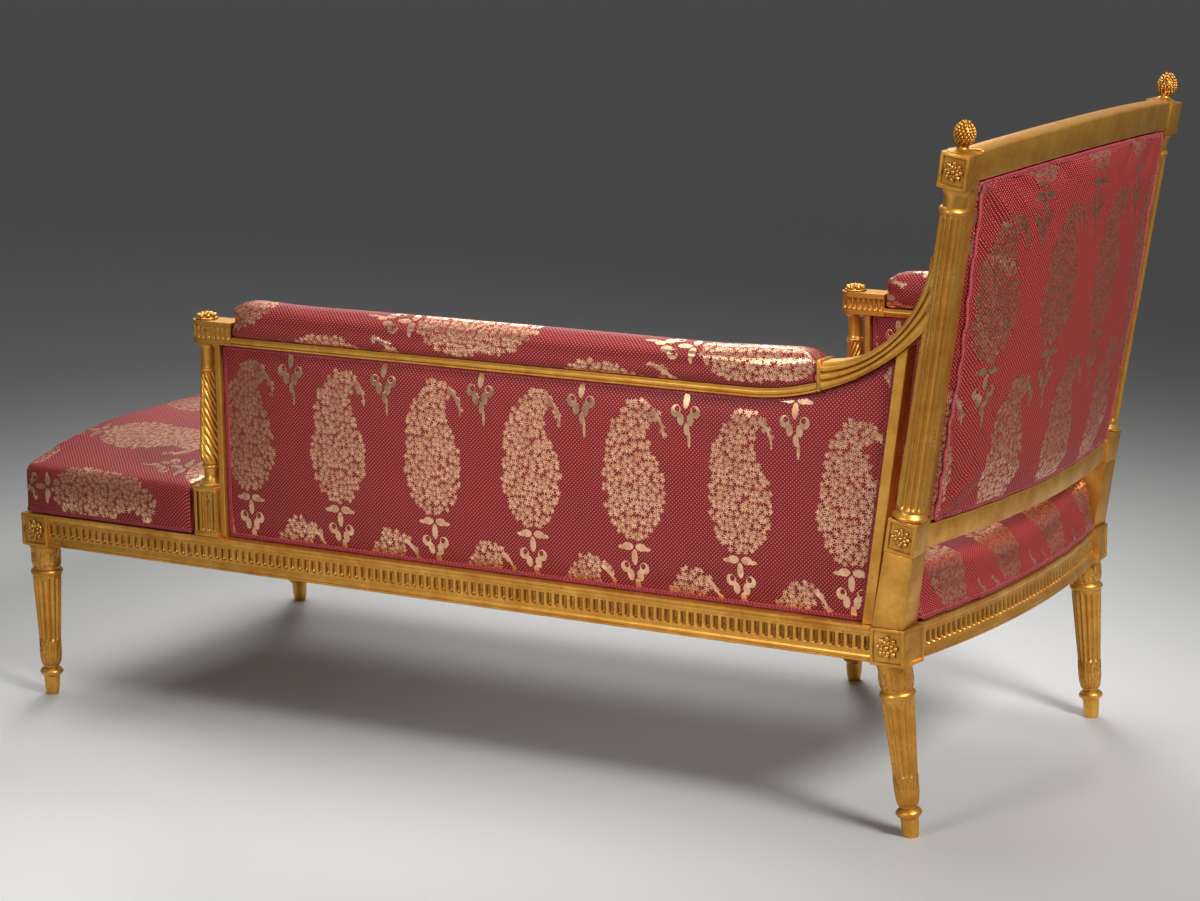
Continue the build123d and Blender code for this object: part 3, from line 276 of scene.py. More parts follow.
def gilding():
    """Water gilding: gold leaf over red bole, burnished and worn, so it gleams softly, goes brown in the
    hollows with dirt and painted shade, and shows red clay where hands have rubbed the edges."""
    if "Water gilding" in bpy.data.materials:
        return bpy.data.materials["Water gilding"]
    material, tree = new_material("Water gilding")
    place = add(tree, "TexCoord").outputs["Object"]
    cloud = add(tree, "TexNoise", {"Vector": place, "Scale": 1 / 0.05, "Detail": 5.0, "Roughness": 0.65})
    grit = add(tree, "TexNoise", {"Vector": place, "Scale": 1 / 0.004, "Detail": 3.0, "Roughness": 0.7})
    tone = add(tree, "MapRange", {0: cloud.outputs[0], 1: 0.30, 2: 0.70, 3: 0.0, 4: 1.0})
    leaf = add(tree, "Mix", {0: tone, 6: tint("gold_dim"), 7: tint("gold")}, data_type="RGBA")
    # Painted shade: ambient occlusion darkens the hollows towards the patina colour, which stands partly for
    # dirt gathered there and partly for the shade that falls there
    open_sky = add(tree, "AmbientOcclusion", {"Distance": 0.012}, samples=6, only_local=True).outputs["AO"]
    hollow = add(tree, "MapRange", {0: open_sky, 1: 0.25, 2: 0.85, 3: 0.85, 4: 0.0})
    dirtied_and_shaded = add(tree, "Mix", {0: hollow, 6: leaf.outputs[2], 7: tint("hollow_dirt_and_shade")}, data_type="RGBA")
    within = add(
        tree, "AmbientOcclusion", {"Distance": 0.004}, samples=4, inside=True, only_local=True
    ).outputs["AO"]
    rub = add(tree, "MapRange", {0: within, 1: 0.45, 2: 0.85, 3: 1.0, 4: 0.0})
    flecks = add(tree, "MapRange", {0: grit.outputs[0], 1: 0.48, 2: 0.60, 3: 0.0, 4: 1.0})
    patches = add(tree, "MapRange", {0: cloud.outputs[0], 1: 0.42, 2: 0.60, 3: 0.0, 4: 1.0})
    spots = add(tree, "Math", {0: flecks, 1: patches}, operation="MULTIPLY")
    worn = add(tree, "Math", {0: rub, 1: spots}, operation="MULTIPLY")
    paint = add(tree, "Mix", {0: worn, 6: dirtied_and_shaded.outputs[2], 7: tint("bole")}, data_type="RGBA")
    metal = add(tree, "MapRange", {0: worn, 1: 0.0, 2: 1.0, 3: 0.82, 4: 0.15})
    rough = add(tree, "MapRange", {0: cloud.outputs[0], 1: 0.3, 2: 0.7, 3: 0.46, 4: 0.30})
    bump = add(tree, "Bump", {"Strength": 0.22, "Distance": 0.0006, "Height": grit.outputs[0]})
    shader = add(tree, "BsdfPrincipled", {
        "Base Color": paint.outputs[2], "Metallic": metal, "Roughness": rough, "Normal": bump,
    })
    add(tree, "OutputMaterial", {0: shader})
    return material


def boteh_group():
    """Node group that draws one boteh from the place in its repeat in millimetres: 1 inside its body,
    and 1 inside the sprig below it."""
    group = bpy.data.node_groups.new("Boteh", "ShaderNodeTree")
    group.interface.new_socket("Place", in_out="INPUT", socket_type="NodeSocketVector")
    group.interface.new_socket("Body", in_out="OUTPUT", socket_type="NodeSocketFloat")
    group.interface.new_socket("Sprig", in_out="OUTPUT", socket_type="NodeSocketFloat")
    place = group.nodes.new("NodeGroupInput").outputs[0]
    folded = add(group, "VectorMath", {0: place}, operation="ABSOLUTE")
    sides = add(group, "SeparateXYZ", {0: folded}).outputs[0]
    height = add(group, "SeparateXYZ", {0: place}).outputs[1]
    paired = add(group, "CombineXYZ", {0: sides, 1: height})

    def united(start, ovals):
        """1 inside any of the ovals, each (middle x, middle y, half width, half height)."""
        whole = None
        for x, y, wide, tall in ovals:
            scaled = add(
                group, "VectorMath", {0: start, 1: (1 / wide, 1 / tall, 0), 2: (-x / wide, -y / tall, 0)},
                operation="MULTIPLY_ADD",
            )
            span = add(group, "VectorMath", {0: scaled}, operation="LENGTH").outputs["Value"]
            oval = add(group, "Math", {0: span, 1: 1.0}, operation="LESS_THAN")
            whole = add(group, "Math", {0: whole, 1: oval}, operation="MAXIMUM") if whole else oval
        return whole

    # Body: a broad foot, a neck that leans to the left, and a round head
    drop = united(place, [(0, 0, 52, 77), (-8, 46, 39, 71), (6, 111, 25, 25)])
    # Hook: an arc from the head that thins to a tip on the right, with a solid spine
    apart = add(group, "VectorMath", {0: place, 1: (8, 90, 0)}, operation="SUBTRACT")
    span = add(group, "VectorMath", {0: apart}, operation="LENGTH").outputs["Value"]
    arm = add(group, "SeparateXYZ", {0: apart})
    bearing = add(group, "Math", {0: arm.outputs[1], 1: arm.outputs[0]}, operation="ARCTAN2")
    tip, root = -0.16, 1.57
    middle = add(group, "MapRange", {0: bearing, 1: tip, 2: root, 3: 44, 4: 37})
    thick = add(group, "MapRange", {0: bearing, 1: tip, 2: root, 3: 3.4, 4: 10})
    past = add(group, "Math", {0: span, 1: middle}, operation="SUBTRACT")
    off = add(group, "Math", {0: past}, operation="ABSOLUTE")
    band = add(group, "Math", {0: off, 1: thick}, operation="LESS_THAN")
    ahead = add(group, "Math", {0: bearing, 1: 0.90, 2: 1.06}, operation="COMPARE")
    hook = add(group, "Math", {0: band, 1: ahead}, operation="MULTIPLY")
    core = add(group, "Math", {0: thick, 1: 0.62, 2: -1.0}, operation="MULTIPLY_ADD")
    line = add(group, "Math", {0: off, 1: core}, operation="LESS_THAN")
    reaching = add(group, "Math", {0: bearing, 1: 0.37, 2: 0.55}, operation="COMPARE")
    spine = add(group, "Math", {0: line, 1: reaching}, operation="MULTIPLY")
    body = add(group, "Math", {0: drop, 1: hook}, operation="MAXIMUM")
    # Sprig: a pair of pointed leaves, a bud, a pair of curls and a thin tip
    pairs = united(paired, [(11, -87, 9, 6), (20, -89, 8, 3.2), (16, -119, 8, 9), (8, -131, 5.5, 9)])
    eyes = united(paired, [(14, -116, 4, 4.5)])
    curls = add(group, "Math", {0: pairs, 1: eyes}, operation="SUBTRACT")
    single = united(place, [(0, -103, 5, 12), (2, -145, 4.5, 9), (6, -160, 2.4, 13)])
    foliage = add(group, "Math", {0: curls, 1: single}, operation="MAXIMUM")
    sprig = add(group, "Math", {0: foliage, 1: spine}, operation="MAXIMUM")
    ending = group.nodes.new("NodeGroupOutput")
    group.links.new(body.outputs[0], ending.inputs[0])
    group.links.new(sprig.outputs[0], ending.inputs[1])
    return group


def brocade():
    """Silk brocade: crimson ground with a fine lattice of pale dots, and botehs filled with florets of
    gold thread, which shine like metal while the silk has a soft sheen."""
    if "Silk brocade" in bpy.data.materials:
        return bpy.data.materials["Silk brocade"]
    cloth = bpy.context.scene.chaise_cloth
    material, tree = new_material("Silk brocade")
    flat = add(tree, "UVMap", uv_map="weave").outputs[0]
    place = add(tree, "VectorMath", {0: flat, "Scale": 1 / MM}, operation="SCALE")
    # Florets: each cell of a jittered lattice is one flower of six petals
    cell = add(tree, "TexVoronoi", {"Vector": place, "Scale": MM / cloth.floret, "Randomness": 0.85},
               voronoi_dimensions="2D")
    centre = cell.outputs["Position"]
    apart = add(tree, "VectorMath", {0: place, 1: centre}, operation="SUBTRACT")
    spoke = add(tree, "SeparateXYZ", {0: apart})
    bearing = add(tree, "Math", {0: spoke.outputs[1], 1: spoke.outputs[0]}, operation="ARCTAN2")
    turned_by = add(tree, "Math", {0: cell.outputs["Color"], 1: 6.0}, operation="MULTIPLY")
    petals = add(tree, "Math", {0: bearing, 1: 6.0, 2: turned_by}, operation="MULTIPLY_ADD")
    lobes = add(tree, "Math", {0: petals}, operation="COSINE")
    reach = add(tree, "MapRange", {0: lobes, 1: -1.0, 2: 1.0, 3: 0.16, 4: 0.68})
    petal = add(tree, "Math", {0: cell.outputs["Distance"], 1: reach}, operation="LESS_THAN")
    # Two rows of botehs, the second half a repeat along and half a repeat up
    wide, high = cloth.repeat_width / MM, cloth.repeat_height / MM
    group = boteh_group()
    figure = None
    for shift in (0.0, 0.5):
        for spot, output in ((centre, "Body"), (place, "Sprig")):
            offset = (shift * wide, shift * high, 0)
            moved = add(tree, "VectorMath", {0: spot, 1: offset}, operation="SUBTRACT")
            limits = {1: (wide / 2, high / 2, 1), 2: (-wide / 2, -high / 2, -1)}
            wrapped = add(tree, "VectorMath", {0: moved, **limits}, operation="WRAP")
            form = add(tree, "Group", {0: wrapped}, node_tree=group).outputs[output]
            if output == "Body":
                form = add(tree, "Math", {0: form, 1: petal}, operation="MULTIPLY")
            figure = add(tree, "Math", {0: figure, 1: form}, operation="MAXIMUM") if figure else form
    # Ground: dots on a diagonal lattice
    turn = add(tree, "Mapping", {"Vector": place, "Rotation": (0, 0, pi / 4)})
    dots = add(tree, "SeparateXYZ", {0: turn})
    waves = []
    for axis in (0, 1):
        phase = add(tree, "Math", {0: dots.outputs[axis], 1: 2 * pi * MM / cloth.dot}, operation="MULTIPLY")
        waves.append(add(tree, "Math", {0: phase}, operation="COSINE"))
    lattice = add(tree, "Math", {0: waves[0], 1: waves[1]}, operation="ADD")
    dot = add(tree, "MapRange", {0: lattice, 1: 0.85, 2: 1.6, 3: 0.0, 4: 1.0})
    shade = add(tree, "TexNoise", {"Vector": place, "Scale": 1 / 90, "Detail": 3.0})
    ground = add(
        tree, "Mix", {0: shade.outputs[0], 6: tint("crimson_deep"), 7: tint("crimson")}, data_type="RGBA"
    )
    dotted = add(tree, "Math", {0: dot, 1: 0.85}, operation="MULTIPLY")
    silk = add(tree, "Mix", {0: dotted, 6: ground.outputs[2], 7: tint("rose")}, data_type="RGBA")
    sparkle = add(
        tree, "Mix", {0: cell.outputs["Color"], 6: tint("thread_dim"), 7: tint("thread")}, data_type="RGBA"
    )
    paint = add(tree, "Mix", {0: figure, 6: silk.outputs[2], 7: sparkle.outputs[2]}, data_type="RGBA")
    shine = add(tree, "Math", {0: figure, 1: 0.95}, operation="MULTIPLY")
    rough = add(tree, "MapRange", {0: figure, 1: 0.0, 2: 1.0, 3: 0.60, 4: 0.28})
    relief = add(tree, "Math", {0: figure, 1: dot}, operation="MAXIMUM")
    bump = add(tree, "Bump", {"Strength": 0.3, "Distance": 0.0006, "Height": relief})
    shader = add(tree, "BsdfPrincipled", {
        "Base Color": paint.outputs[2], "Metallic": shine, "Roughness": rough, "Normal": bump,
        "Specular IOR Level": 0.3, "Sheen Weight": 0.05, "Sheen Roughness": 0.45, "Sheen Tint": tint("rose"),
    })
    add(tree, "OutputMaterial", {0: shader})
    return material


def plain_weave(name, base, thread_mm, roughness):
    """Woven cloth or braid: crossing threads that catch the light in turn, with no gloss."""
    if name in bpy.data.materials:
        return bpy.data.materials[name]
    material, tree = new_material(name)
    place = add(tree, "TexCoord").outputs["Object"]
    weave = add(tree, "TexVoronoi", {"Vector": place, "Scale": 1 / (thread_mm * MM), "Randomness": 0.35})
    dim = add(tree, "MapRange", {0: weave.outputs["Distance"], 1: 0.0, 2: 0.8, 3: 1.1, 4: 0.55})
    paint = add(tree, "Mix", {0: 1.0, 6: base, 7: dim}, data_type="RGBA", blend_type="MULTIPLY")
    bump = add(tree, "Bump", {"Strength": 0.5, "Distance": 0.0008, "Height": dim})
    shader = add(tree, "BsdfPrincipled", {
        "Base Color": paint.outputs[2], "Roughness": roughness, "Normal": bump, "Sheen Weight": 0.2,
    })
    add(tree, "OutputMaterial", {0: shader})
    return material


def bare_beech():
    """Bare beech: pale brown wood with short darker flecks along its grain, matt."""
    material, tree = new_material("Bare beech")
    place = add(tree, "TexCoord").outputs["Object"]
    grain = add(tree, "Mapping", {"Vector": place, "Scale": (1.0, 0.12, 1.0)})
    rings = add(tree, "TexNoise", {"Vector": grain, "Scale": 1 / 0.006, "Detail": 5.0, "Roughness": 0.65})
    tone = add(tree, "MapRange", {0: rings.outputs[0], 1: 0.3, 2: 0.7, 3: 0.6, 4: 1.1})
    paint = add(tree, "Mix", {0: 1.0, 6: tint("beech"), 7: tone}, data_type="RGBA", blend_type="MULTIPLY")
    bump = add(tree, "Bump", {"Strength": 0.2, "Distance": 0.0005, "Height": rings.outputs[0]})
    shader = add(tree, "BsdfPrincipled", {"Base Color": paint.outputs[2], "Roughness": 0.7, "Normal": bump})
    add(tree, "OutputMaterial", {0: shader})
    return material


def placed(origin, z_axis=(0, 0, 1), x_axis=(1, 0, 0)):
    """Matrix of a local frame at an origin, with its Z direction and, as near as it goes, its X."""
    z = Vector(z_axis).normalized()
    y = z.cross(Vector(x_axis)).normalized()
    x = y.cross(z)
    return Matrix.Translation(origin) @ Matrix((x, y, z)).transposed().to_4x4()


def merge(target, part, *matrices):
    """Add a copy of a finished shape to another one for each matrix, or one copy as it lies."""
    mesh = bpy.data.meshes.new("part")
    part.to_mesh(mesh)
    part.free()
    for matrix in matrices or (Matrix(),):
        mesh.transform(matrix)
        target.from_mesh(mesh)
        mesh.transform(matrix.inverted())
    bpy.data.meshes.remove(mesh)


def verts_of(geometry):
    """The vertices among what an operator made."""
    return [item for item in geometry if isinstance(item, bmesh.types.BMVert)]


def edges_of(geometry):
    """The edges among what an operator made."""
    return [item for item in geometry if isinstance(item, bmesh.types.BMEdge)]


def cut_away(shape, point, outward):
    """Cut off what lies beyond a plane, and return the edges of the cut."""
    everything = shape.verts[:] + shape.edges[:] + shape.faces[:]
    made = bmesh.ops.bisect_plane(shape, geom=everything, plane_co=point, plane_no=outward, clear_outer=True)
    return edges_of(made["geom_cut"])


def around(count, out, high, tilt, shift=0.0):
    """Matrices of a ring of copies round Z, this far out and up, each tilted about its own Y."""
    first = Matrix.Translation((out, 0, high)) @ Matrix.Rotation(tilt, 4, "Y")
    return [Matrix.Rotation(2 * pi * (index + shift) / count, 4, "Z") @ first for index in range(count)]


def swell(start, end, bulge, count=6):
    """Points of a round stretch of an outline from start to end, that stands out by the bulge."""
    shares = [index / count for index in range(count + 1)]
    return [
        (start[0] + (end[0] - start[0]) * t + bulge * sin(pi * t), start[1] + (end[1] - start[1]) * t)
        for t in shares
    ]


def turned(outline, steps=40):
    """Turned shape: an outline of (radius, height) points spun round Z and closed at both ends."""
    shape = bmesh.new()
    outline = [(0, outline[0][1]), *outline, (0, outline[-1][1])]
    points = [shape.verts.new((radius, 0, height)) for radius, height in outline]
    edges = [shape.edges.new(pair) for pair in zip(points, points[1:])]
    bmesh.ops.spin(shape, geom=points + edges, cent=(0, 0, 0), axis=(0, 0, 1), angle=2 * pi, steps=steps,
                   use_merge=True)
    bmesh.ops.remove_doubles(shape, verts=shape.verts, dist=0.001)
    bmesh.ops.recalc_face_normals(shape, faces=shape.faces)
    return shape


def fluted(levels, flutes, fineness=8, rope=False):
    """Shaft of hollow flutes, or of the soft strands of a rope, through levels of (height, radius, depth,
    turn), closed at both ends."""
    shape = bmesh.new()
    ring = bmesh.ops.create_circle(shape, segments=flutes * fineness, radius=1)["verts"]
    edges = list(shape.edges)
    was_turned = 0.0
    for number, (height, radius, depth, turn) in enumerate(levels):
        if number:
            made = bmesh.ops.extrude_edge_only(shape, edges=edges)["geom"]
            ring = verts_of(made)
            fresh = set(ring)
            edges = [edge for edge in edges_of(made) if all(vert in fresh for vert in edge.verts)]
        for vert in ring:
            bearing = atan2(vert.co.y, vert.co.x) - was_turned
            share = (bearing * flutes / (2 * pi)) % 1.0
            hollow = sin(pi * share) ** 4 if rope else sqrt(max(0.0, 1 - ((share - 0.5) / 0.42) ** 2))
            out = radius - depth * hollow
            vert.co = (out * cos(bearing + turn), out * sin(bearing + turn), height)
        was_turned = turn
    bmesh.ops.holes_fill(shape, edges=shape.edges, sides=0)
    bmesh.ops.recalc_face_normals(shape, faces=shape.faces)
    return shape


def pebble(x, y, z, point=0.0, fineness=(10, 6)):
    """Smooth carved lobe of these half sizes; `point` narrows it towards its +X end, as a leaf does."""
    shape = bmesh.new()
    bmesh.ops.create_uvsphere(shape, u_segments=fineness[0], v_segments=fineness[1], radius=1)
    bmesh.ops.rotate(shape, verts=shape.verts, matrix=Matrix.Rotation(pi / 2, 3, "Y"))
    for vert in shape.verts:
        narrow = 1 - point * max(0.0, vert.co.x + 0.2) / 1.2
        vert.co = (vert.co.x * x, vert.co.y * y * narrow, vert.co.z * z * narrow)
    return shape


def flower(radius, height):
    """Carved rosette on the plane Z = 0: two rings of petals round a button."""
    shape = bmesh.new()
    merge(shape, turned([(radius * 0.80, 0), (radius * 0.74, height * 0.30)], 24))
    for count, out, half, rise, shift in ((8, 0.66, 0.34, 0.34, 0.0), (8, 0.40, 0.26, 0.55, 0.5)):
        petal = pebble(half * radius, half * radius * 0.72, height * 0.42, fineness=(8, 6))
        merge(shape, petal, *around(count, out * radius, rise * height, -0.30, shift))
    button = pebble(radius * 0.22, radius * 0.22, height * 0.4)
    merge(shape, button, Matrix.Translation((0, 0, height * 0.75)))
    return shape


def block(low, high, panels=(), margin=4.5, top_scale=1.0):
    """Block between two corners with softened edges; each panel direction gets a sunk, framed field."""
    shape = bmesh.new()
    low, high = Vector(low), Vector(high)
    middle = (low + high) / 2
    bmesh.ops.create_cube(shape, size=1)
    bmesh.ops.scale(shape, vec=high - low, verts=shape.verts)
    bmesh.ops.translate(shape, vec=middle, verts=shape.verts)
    for vert in shape.verts:
        if vert.co.z > middle.z:
            vert.co.x = middle.x + (vert.co.x - middle.x) * top_scale
            vert.co.y = middle.y + (vert.co.y - middle.y) * top_scale
    fields = []
    for direction in panels:
        shape.normal_update()
        look = Vector(direction)
        fields.append(max(shape.faces, key=lambda face: face.normal.dot(look) * face.calc_area()))
    rim = list(shape.edges)
    for field in fields:
        bmesh.ops.inset_individual(shape, faces=[field], thickness=margin, use_even_offset=True)
        bmesh.ops.inset_individual(
            shape, faces=[field], thickness=1.6, depth=-FIELD_SINK, use_even_offset=True
        )
    bmesh.ops.bevel(
        shape, geom=rim, offset=1.1, offset_type="OFFSET", segments=2, profile=0.5, affect="EDGES",
        material=-1, clamp_overlap=True,
    )
    bmesh.ops.recalc_face_normals(shape, faces=shape.faces)
    return shape


def flute_strip(count, pitch, height, width, depth):
    """Strip along X of round-ended hollow flutes, on the plane Y = 0 with its face to -Y and Z up."""
    shape = bmesh.new()
    columns = (-pitch / 2, -width / 2, -width * 0.30, 0.0, width * 0.30, width / 2)
    half = height / 2
    end = half - (pitch - width) / 2
    upper = (end - width / 2, end - width * 0.16, end, half)
    rows = (*(-z for z in reversed(upper)), 0.0, *upper)
    bmesh.ops.create_grid(shape, x_segments=6 * count, y_segments=8, size=1)
    straight = end - width / 2
    for vert in shape.verts:
        step = round((vert.co.x + 1) / 2 * 6 * count)
        along = columns[step % 6] if step < 6 * count else pitch / 2
        flute = min(step // 6, count - 1)
        tall = rows[round((vert.co.y + 1) * 4)]
        over = max(0.0, abs(tall) - straight)
        across = abs(along) / (width / 2)
        sunk = max(0.0, 1 - across**2 - (over / (width / 2)) ** 2)
        vert.co = (along + (flute - (count - 1) / 2) * pitch, depth * sqrt(sunk), tall)
    rim = [edge for edge in shape.edges if edge.is_boundary]
    made = bmesh.ops.extrude_edge_only(shape, edges=rim)["geom"]
    bmesh.ops.translate(shape, vec=(0, depth + 1.5, 0), verts=verts_of(made))
    return shape


def finish_piece(name, shape, node, sharp=38):
    """Gild a shape in millimetres and hand it over, in metres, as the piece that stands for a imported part."""
    bmesh.ops.recalc_face_normals(shape, faces=shape.faces)
    bmesh.ops.scale(shape, vec=(MM, MM, MM), verts=shape.verts)
    mesh = bpy.data.meshes.new(name)
    shape.to_mesh(mesh)
    shape.free()
    mesh.shade_smooth()
    mesh.set_sharp_from_angle(angle=radians(sharp))
    mesh.materials.append(gilding())
    piece = bpy.data.objects.new(name, mesh)
    bpy.context.scene.collection.objects.link(piece)
    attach(piece, "root")
    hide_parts(node)


def post_matrix(side):
    """Local frame of a rear post above the seat: Z up its axis, X out of the chaise."""
    lean, splay = tan(size("post_rake")), tan(size("post_splay"))
    rear_y = rear_die_y()
    near = placed((LEG_X, rear_y - 1, RAIL_TOP), (splay, lean, 1), (1, 0, -splay))
    return near if side > 0 else Matrix.Scale(-1, 4, (1, 0, 0)) @ near


def upright(x, y, z, outward):
    """Local frame on an upright face: Z out of it and Y up."""
    out = Vector(outward)
    return placed((x, y, z), out, Vector((0, 0, 1)).cross(out))


def leg_shape(tall):
    """Turned leg of this height: toe, ankle ring, leaf collar, fluted shaft, ring and leaf capital."""
    shape = bmesh.new()
    capital = tall - 42
    ring = capital - 11
    merge(shape, turned([
        (9.8, 0), *swell((10.4, 0.8), (13.2, 31), 0.9), *swell((14.0, 32), (14.0, 46), 5.6),
        (12.4, 47), (13.0, 50), *swell((13.0, 51), (17.2, 90), 1.6), (17.2, 92), (15.0, 93),
    ]))
    merge(shape, fluted([
        (92, 17.9, 0, 0), (94, 17.9, 0, 0), (96, 18.0, 1.4, 0), (100, 18.2, 2.5, 0),
        (ring - 9, 23.4, 3.1, 0), (ring - 5, 23.6, 1.4, 0), (ring - 3, 23.8, 0, 0), (ring, 23.8, 0, 0),
    ], size("leg_flutes")))
    merge(shape, turned([
        (20, ring - 1), (24.4, ring), *swell((24.6, ring + 1), (24.6, capital - 1), 2.2),
        *swell((22.4, capital), (25.6, tall - 5), -0.8), (26.8, tall - 4), (26.8, tall),
    ]))
    for count, foot, high, wide, out, lean, shift in (
        (10, 50, 24, 5.0, 16.4, 0.09, 0.0), (10, 50, 19, 4.0, 16.0, 0.10, 0.5),
        (8, capital + 1, 20, 8.4, 22.8, 0.10, 0.0), (8, capital + 2, 15, 6.0, 23.6, 0.08, 0.5),
    ):
        leaf = pebble(high, wide, 2.6, point=0.75)
        merge(shape, leaf, *around(count, out, foot + high, lean - pi / 2, shift))
    return shape


class CHAISE_OT_legs(bpy.types.Operator):
    """Turned and fluted legs under dies carved with rosettes"""

    bl_idname = "chaise.legs"
    bl_label = "Legs"

    def execute(self, context):
        middle = (RAIL_TOP + DIE_BOTTOM) / 2
        for name, side, y, faces in (
            ("front_leg_near", 1, FRONT_Y, ((1, 0, 0), (0, -1, 0))),
            ("front_leg_far", -1, FRONT_Y, ((-1, 0, 0), (0, -1, 0))),
            ("middle_leg_far", -1, SHORT_Y, ((-1, 0, 0),)),
        ):
            shape = bmesh.new()
            x = side * LEG_X
            merge(shape, leg_shape(DIE_BOTTOM), Matrix.Translation((x, y, 0)))
            low, high = (x - DIE / 2, y - DIE / 2, DIE_BOTTOM), (x + DIE / 2, y + DIE / 2, RAIL_TOP)
            merge(shape, block(low, high, faces))
            for face in faces:
                spot = Vector((x, y, middle)) + Vector(face) * (DIE / 2 - FIELD_SINK)
                merge(shape, flower(18, 6.5), upright(*spot, face))
            finish_piece(f"carved_{name}", shape, name)
        return {"FINISHED"}


def finial_shape():
    """Pinecone on a turned foot: staggered rows of pointed scales over an egg."""
    shape = bmesh.new()
    tall, wide = size("finial_height"), size("cone_radius")
    foot = 10.0
    merge(shape, turned([
        (20, -0.5), (20, 1), *swell((18, 1.6), (7.6, 8), -3.0), (7.6, 10), (10, 12),
    ], 32))
    rows = 9
    cone = tall - foot
    egg = [
        (max(0.5, (wide - 2.2) * sin(pi * (0.10 + 0.88 * step / 12)) ** 0.72), foot + cone * step / 12 * 0.98)
        for step in range(13)
    ]
    merge(shape, turned(egg, 24))
    for row in range(rows):
        share = (row + 0.5) / rows
        out = (wide - 2.6) * sin(pi * (0.10 + 0.88 * share)) ** 0.72
        count = max(5, round(2 * pi * out / 5.4))
        scale = pebble(2.9, 2.5, 3.2, point=0.3, fineness=(8, 4))
        lean = 0.9 - 1.7 * share
        merge(shape, scale, *around(count, out, foot + cone * share, lean - pi / 2, 0.5 * (row % 2)))
    return shape


def rear_leg_shape():
    """Near rear leg, raked and cut level on the floor, under its die, whose rear face turns with the bow."""
    shape = bmesh.new()
    rear_y = rear_die_y()
    foot = Vector((LEG_X - size("rear_foot_in"), rear_y + size("rear_foot_back"), 0))
    axis = Vector((LEG_X, rear_y, DIE_BOTTOM)) - foot
    leg = leg_shape(axis.length + 4)
    bmesh.ops.transform(leg, matrix=placed(foot - axis.normalized() * 2, axis), verts=leg.verts)
    bmesh.ops.holes_fill(leg, edges=cut_away(leg, (0, 0, 0), (0, 0, -1)), sides=0)
    merge(shape, leg)
    outer = LEG_X + DIE / 2
    low, high = (LEG_X - DIE / 2, rear_y - DIE / 2, DIE_BOTTOM), (outer, rear_y + DIE / 2, RAIL_TOP)
    die = block(low, high, ((1, 0, 0), (0, 1, 0)))
    for vert in die.verts:
        if vert.co.y > rear_y:
            vert.co.y += (outer - vert.co.x) * tan(radians(7))
    merge(shape, die)
    middle = (DIE_BOTTOM + RAIL_TOP) / 2
    merge(shape, flower(18, 6.5), upright(outer - FIELD_SINK, rear_y, middle, (1, 0, 0)))
    return shape


def post_shape(tall):
    """Post of this height up its own axis: block, carved die, fluted column with its stile, neck, top die."""
    post = bmesh.new()
    die_low = size("block_height")
    die_top = die_low + size("post_die_height")
    column = die_top + 14
    top = tall - size("top_die_height")
    neck = top - size("neck_height")
    half = size("block") / 2
    merge(post, block((-half, -half, -4), (half, half, die_low), top_scale=size("block_top") / size("block")))
    dies = ((size("post_die"), die_low, die_top, 15), (size("top_die"), top, tall, 14.5))
    for wide, low, high, petals in dies:
        half = wide / 2
        merge(post, block((-half, -half, low), (half, half, high), ((1, 0, 0),), 5.0))
        merge(post, flower(petals, 5.5), upright(half - FIELD_SINK, 0, (low + high) / 2, (1, 0, 0)))
    bottom, head = size("column_radius"), size("column_top_radius")
    merge(post, turned([
        (bottom + 3.4, die_top - 1), *swell((bottom + 2.2, die_top), (bottom + 2.2, die_top + 8), 2.4),
        (bottom + 1.6, die_top + 9), *swell((bottom + 1.4, die_top + 9.4), (bottom - 0.4, column), -0.8),
        (bottom - 3, column + 1),
    ]))
    merge(post, fluted([
        (column - 1, bottom, 0, 0), (column + 2, bottom, 0, 0), (column + 4, bottom, 1.6, 0),
        (column + 9, bottom, 3.3, 0), (neck - 8, head, 3.0, 0), (neck - 3, head, 1.4, 0), (neck, head, 0, 0),
    ], size("leg_flutes")))
    deep = size("stile_depth") / 2
    merge(post, block((-size("stile_reach"), -deep, die_top), (-4, deep, top)))
    merge(post, turned([
        (head - 2, neck - 1), *swell((head, neck), (head, neck + 9), 2.8), (head - 1.6, neck + 10),
        (head - 1.8, neck + 22), *swell((head - 1.6, neck + 23), (head + 3.4, top - 1), -1.2),
        (head + 3.4, top),
    ]))
    return post


class CHAISE_OT_posts(bpy.types.Operator):
    """Raked rear posts with their legs, dies, fluted columns and pinecone finials"""

    bl_idname = "chaise.posts"
    bl_label = "Rear posts"

    def execute(self, context):
        rise = 1 / (cos(size("post_rake")) * cos(size("post_splay")))
        tall = (TOP - RAIL_TOP) * rise - size("finial_height") - 1
        for side, word in ((1, "near"), (-1, "far")):
            whole = bmesh.new()
            merge(whole, rear_leg_shape(), Matrix.Scale(side, 4, (1, 0, 0)))
            merge(whole, post_shape(tall), post_matrix(side))
            finish_piece(f"carved_rear_post_{word}", whole, f"rear_post_{word}")
            cone = bmesh.new()
            merge(cone, finial_shape(), post_matrix(side) @ Matrix.Translation((0, 0, tall)))
            finish_piece(f"pinecone_{word}", cone, f"finial_{word}", 60)
        return {"FINISHED"}


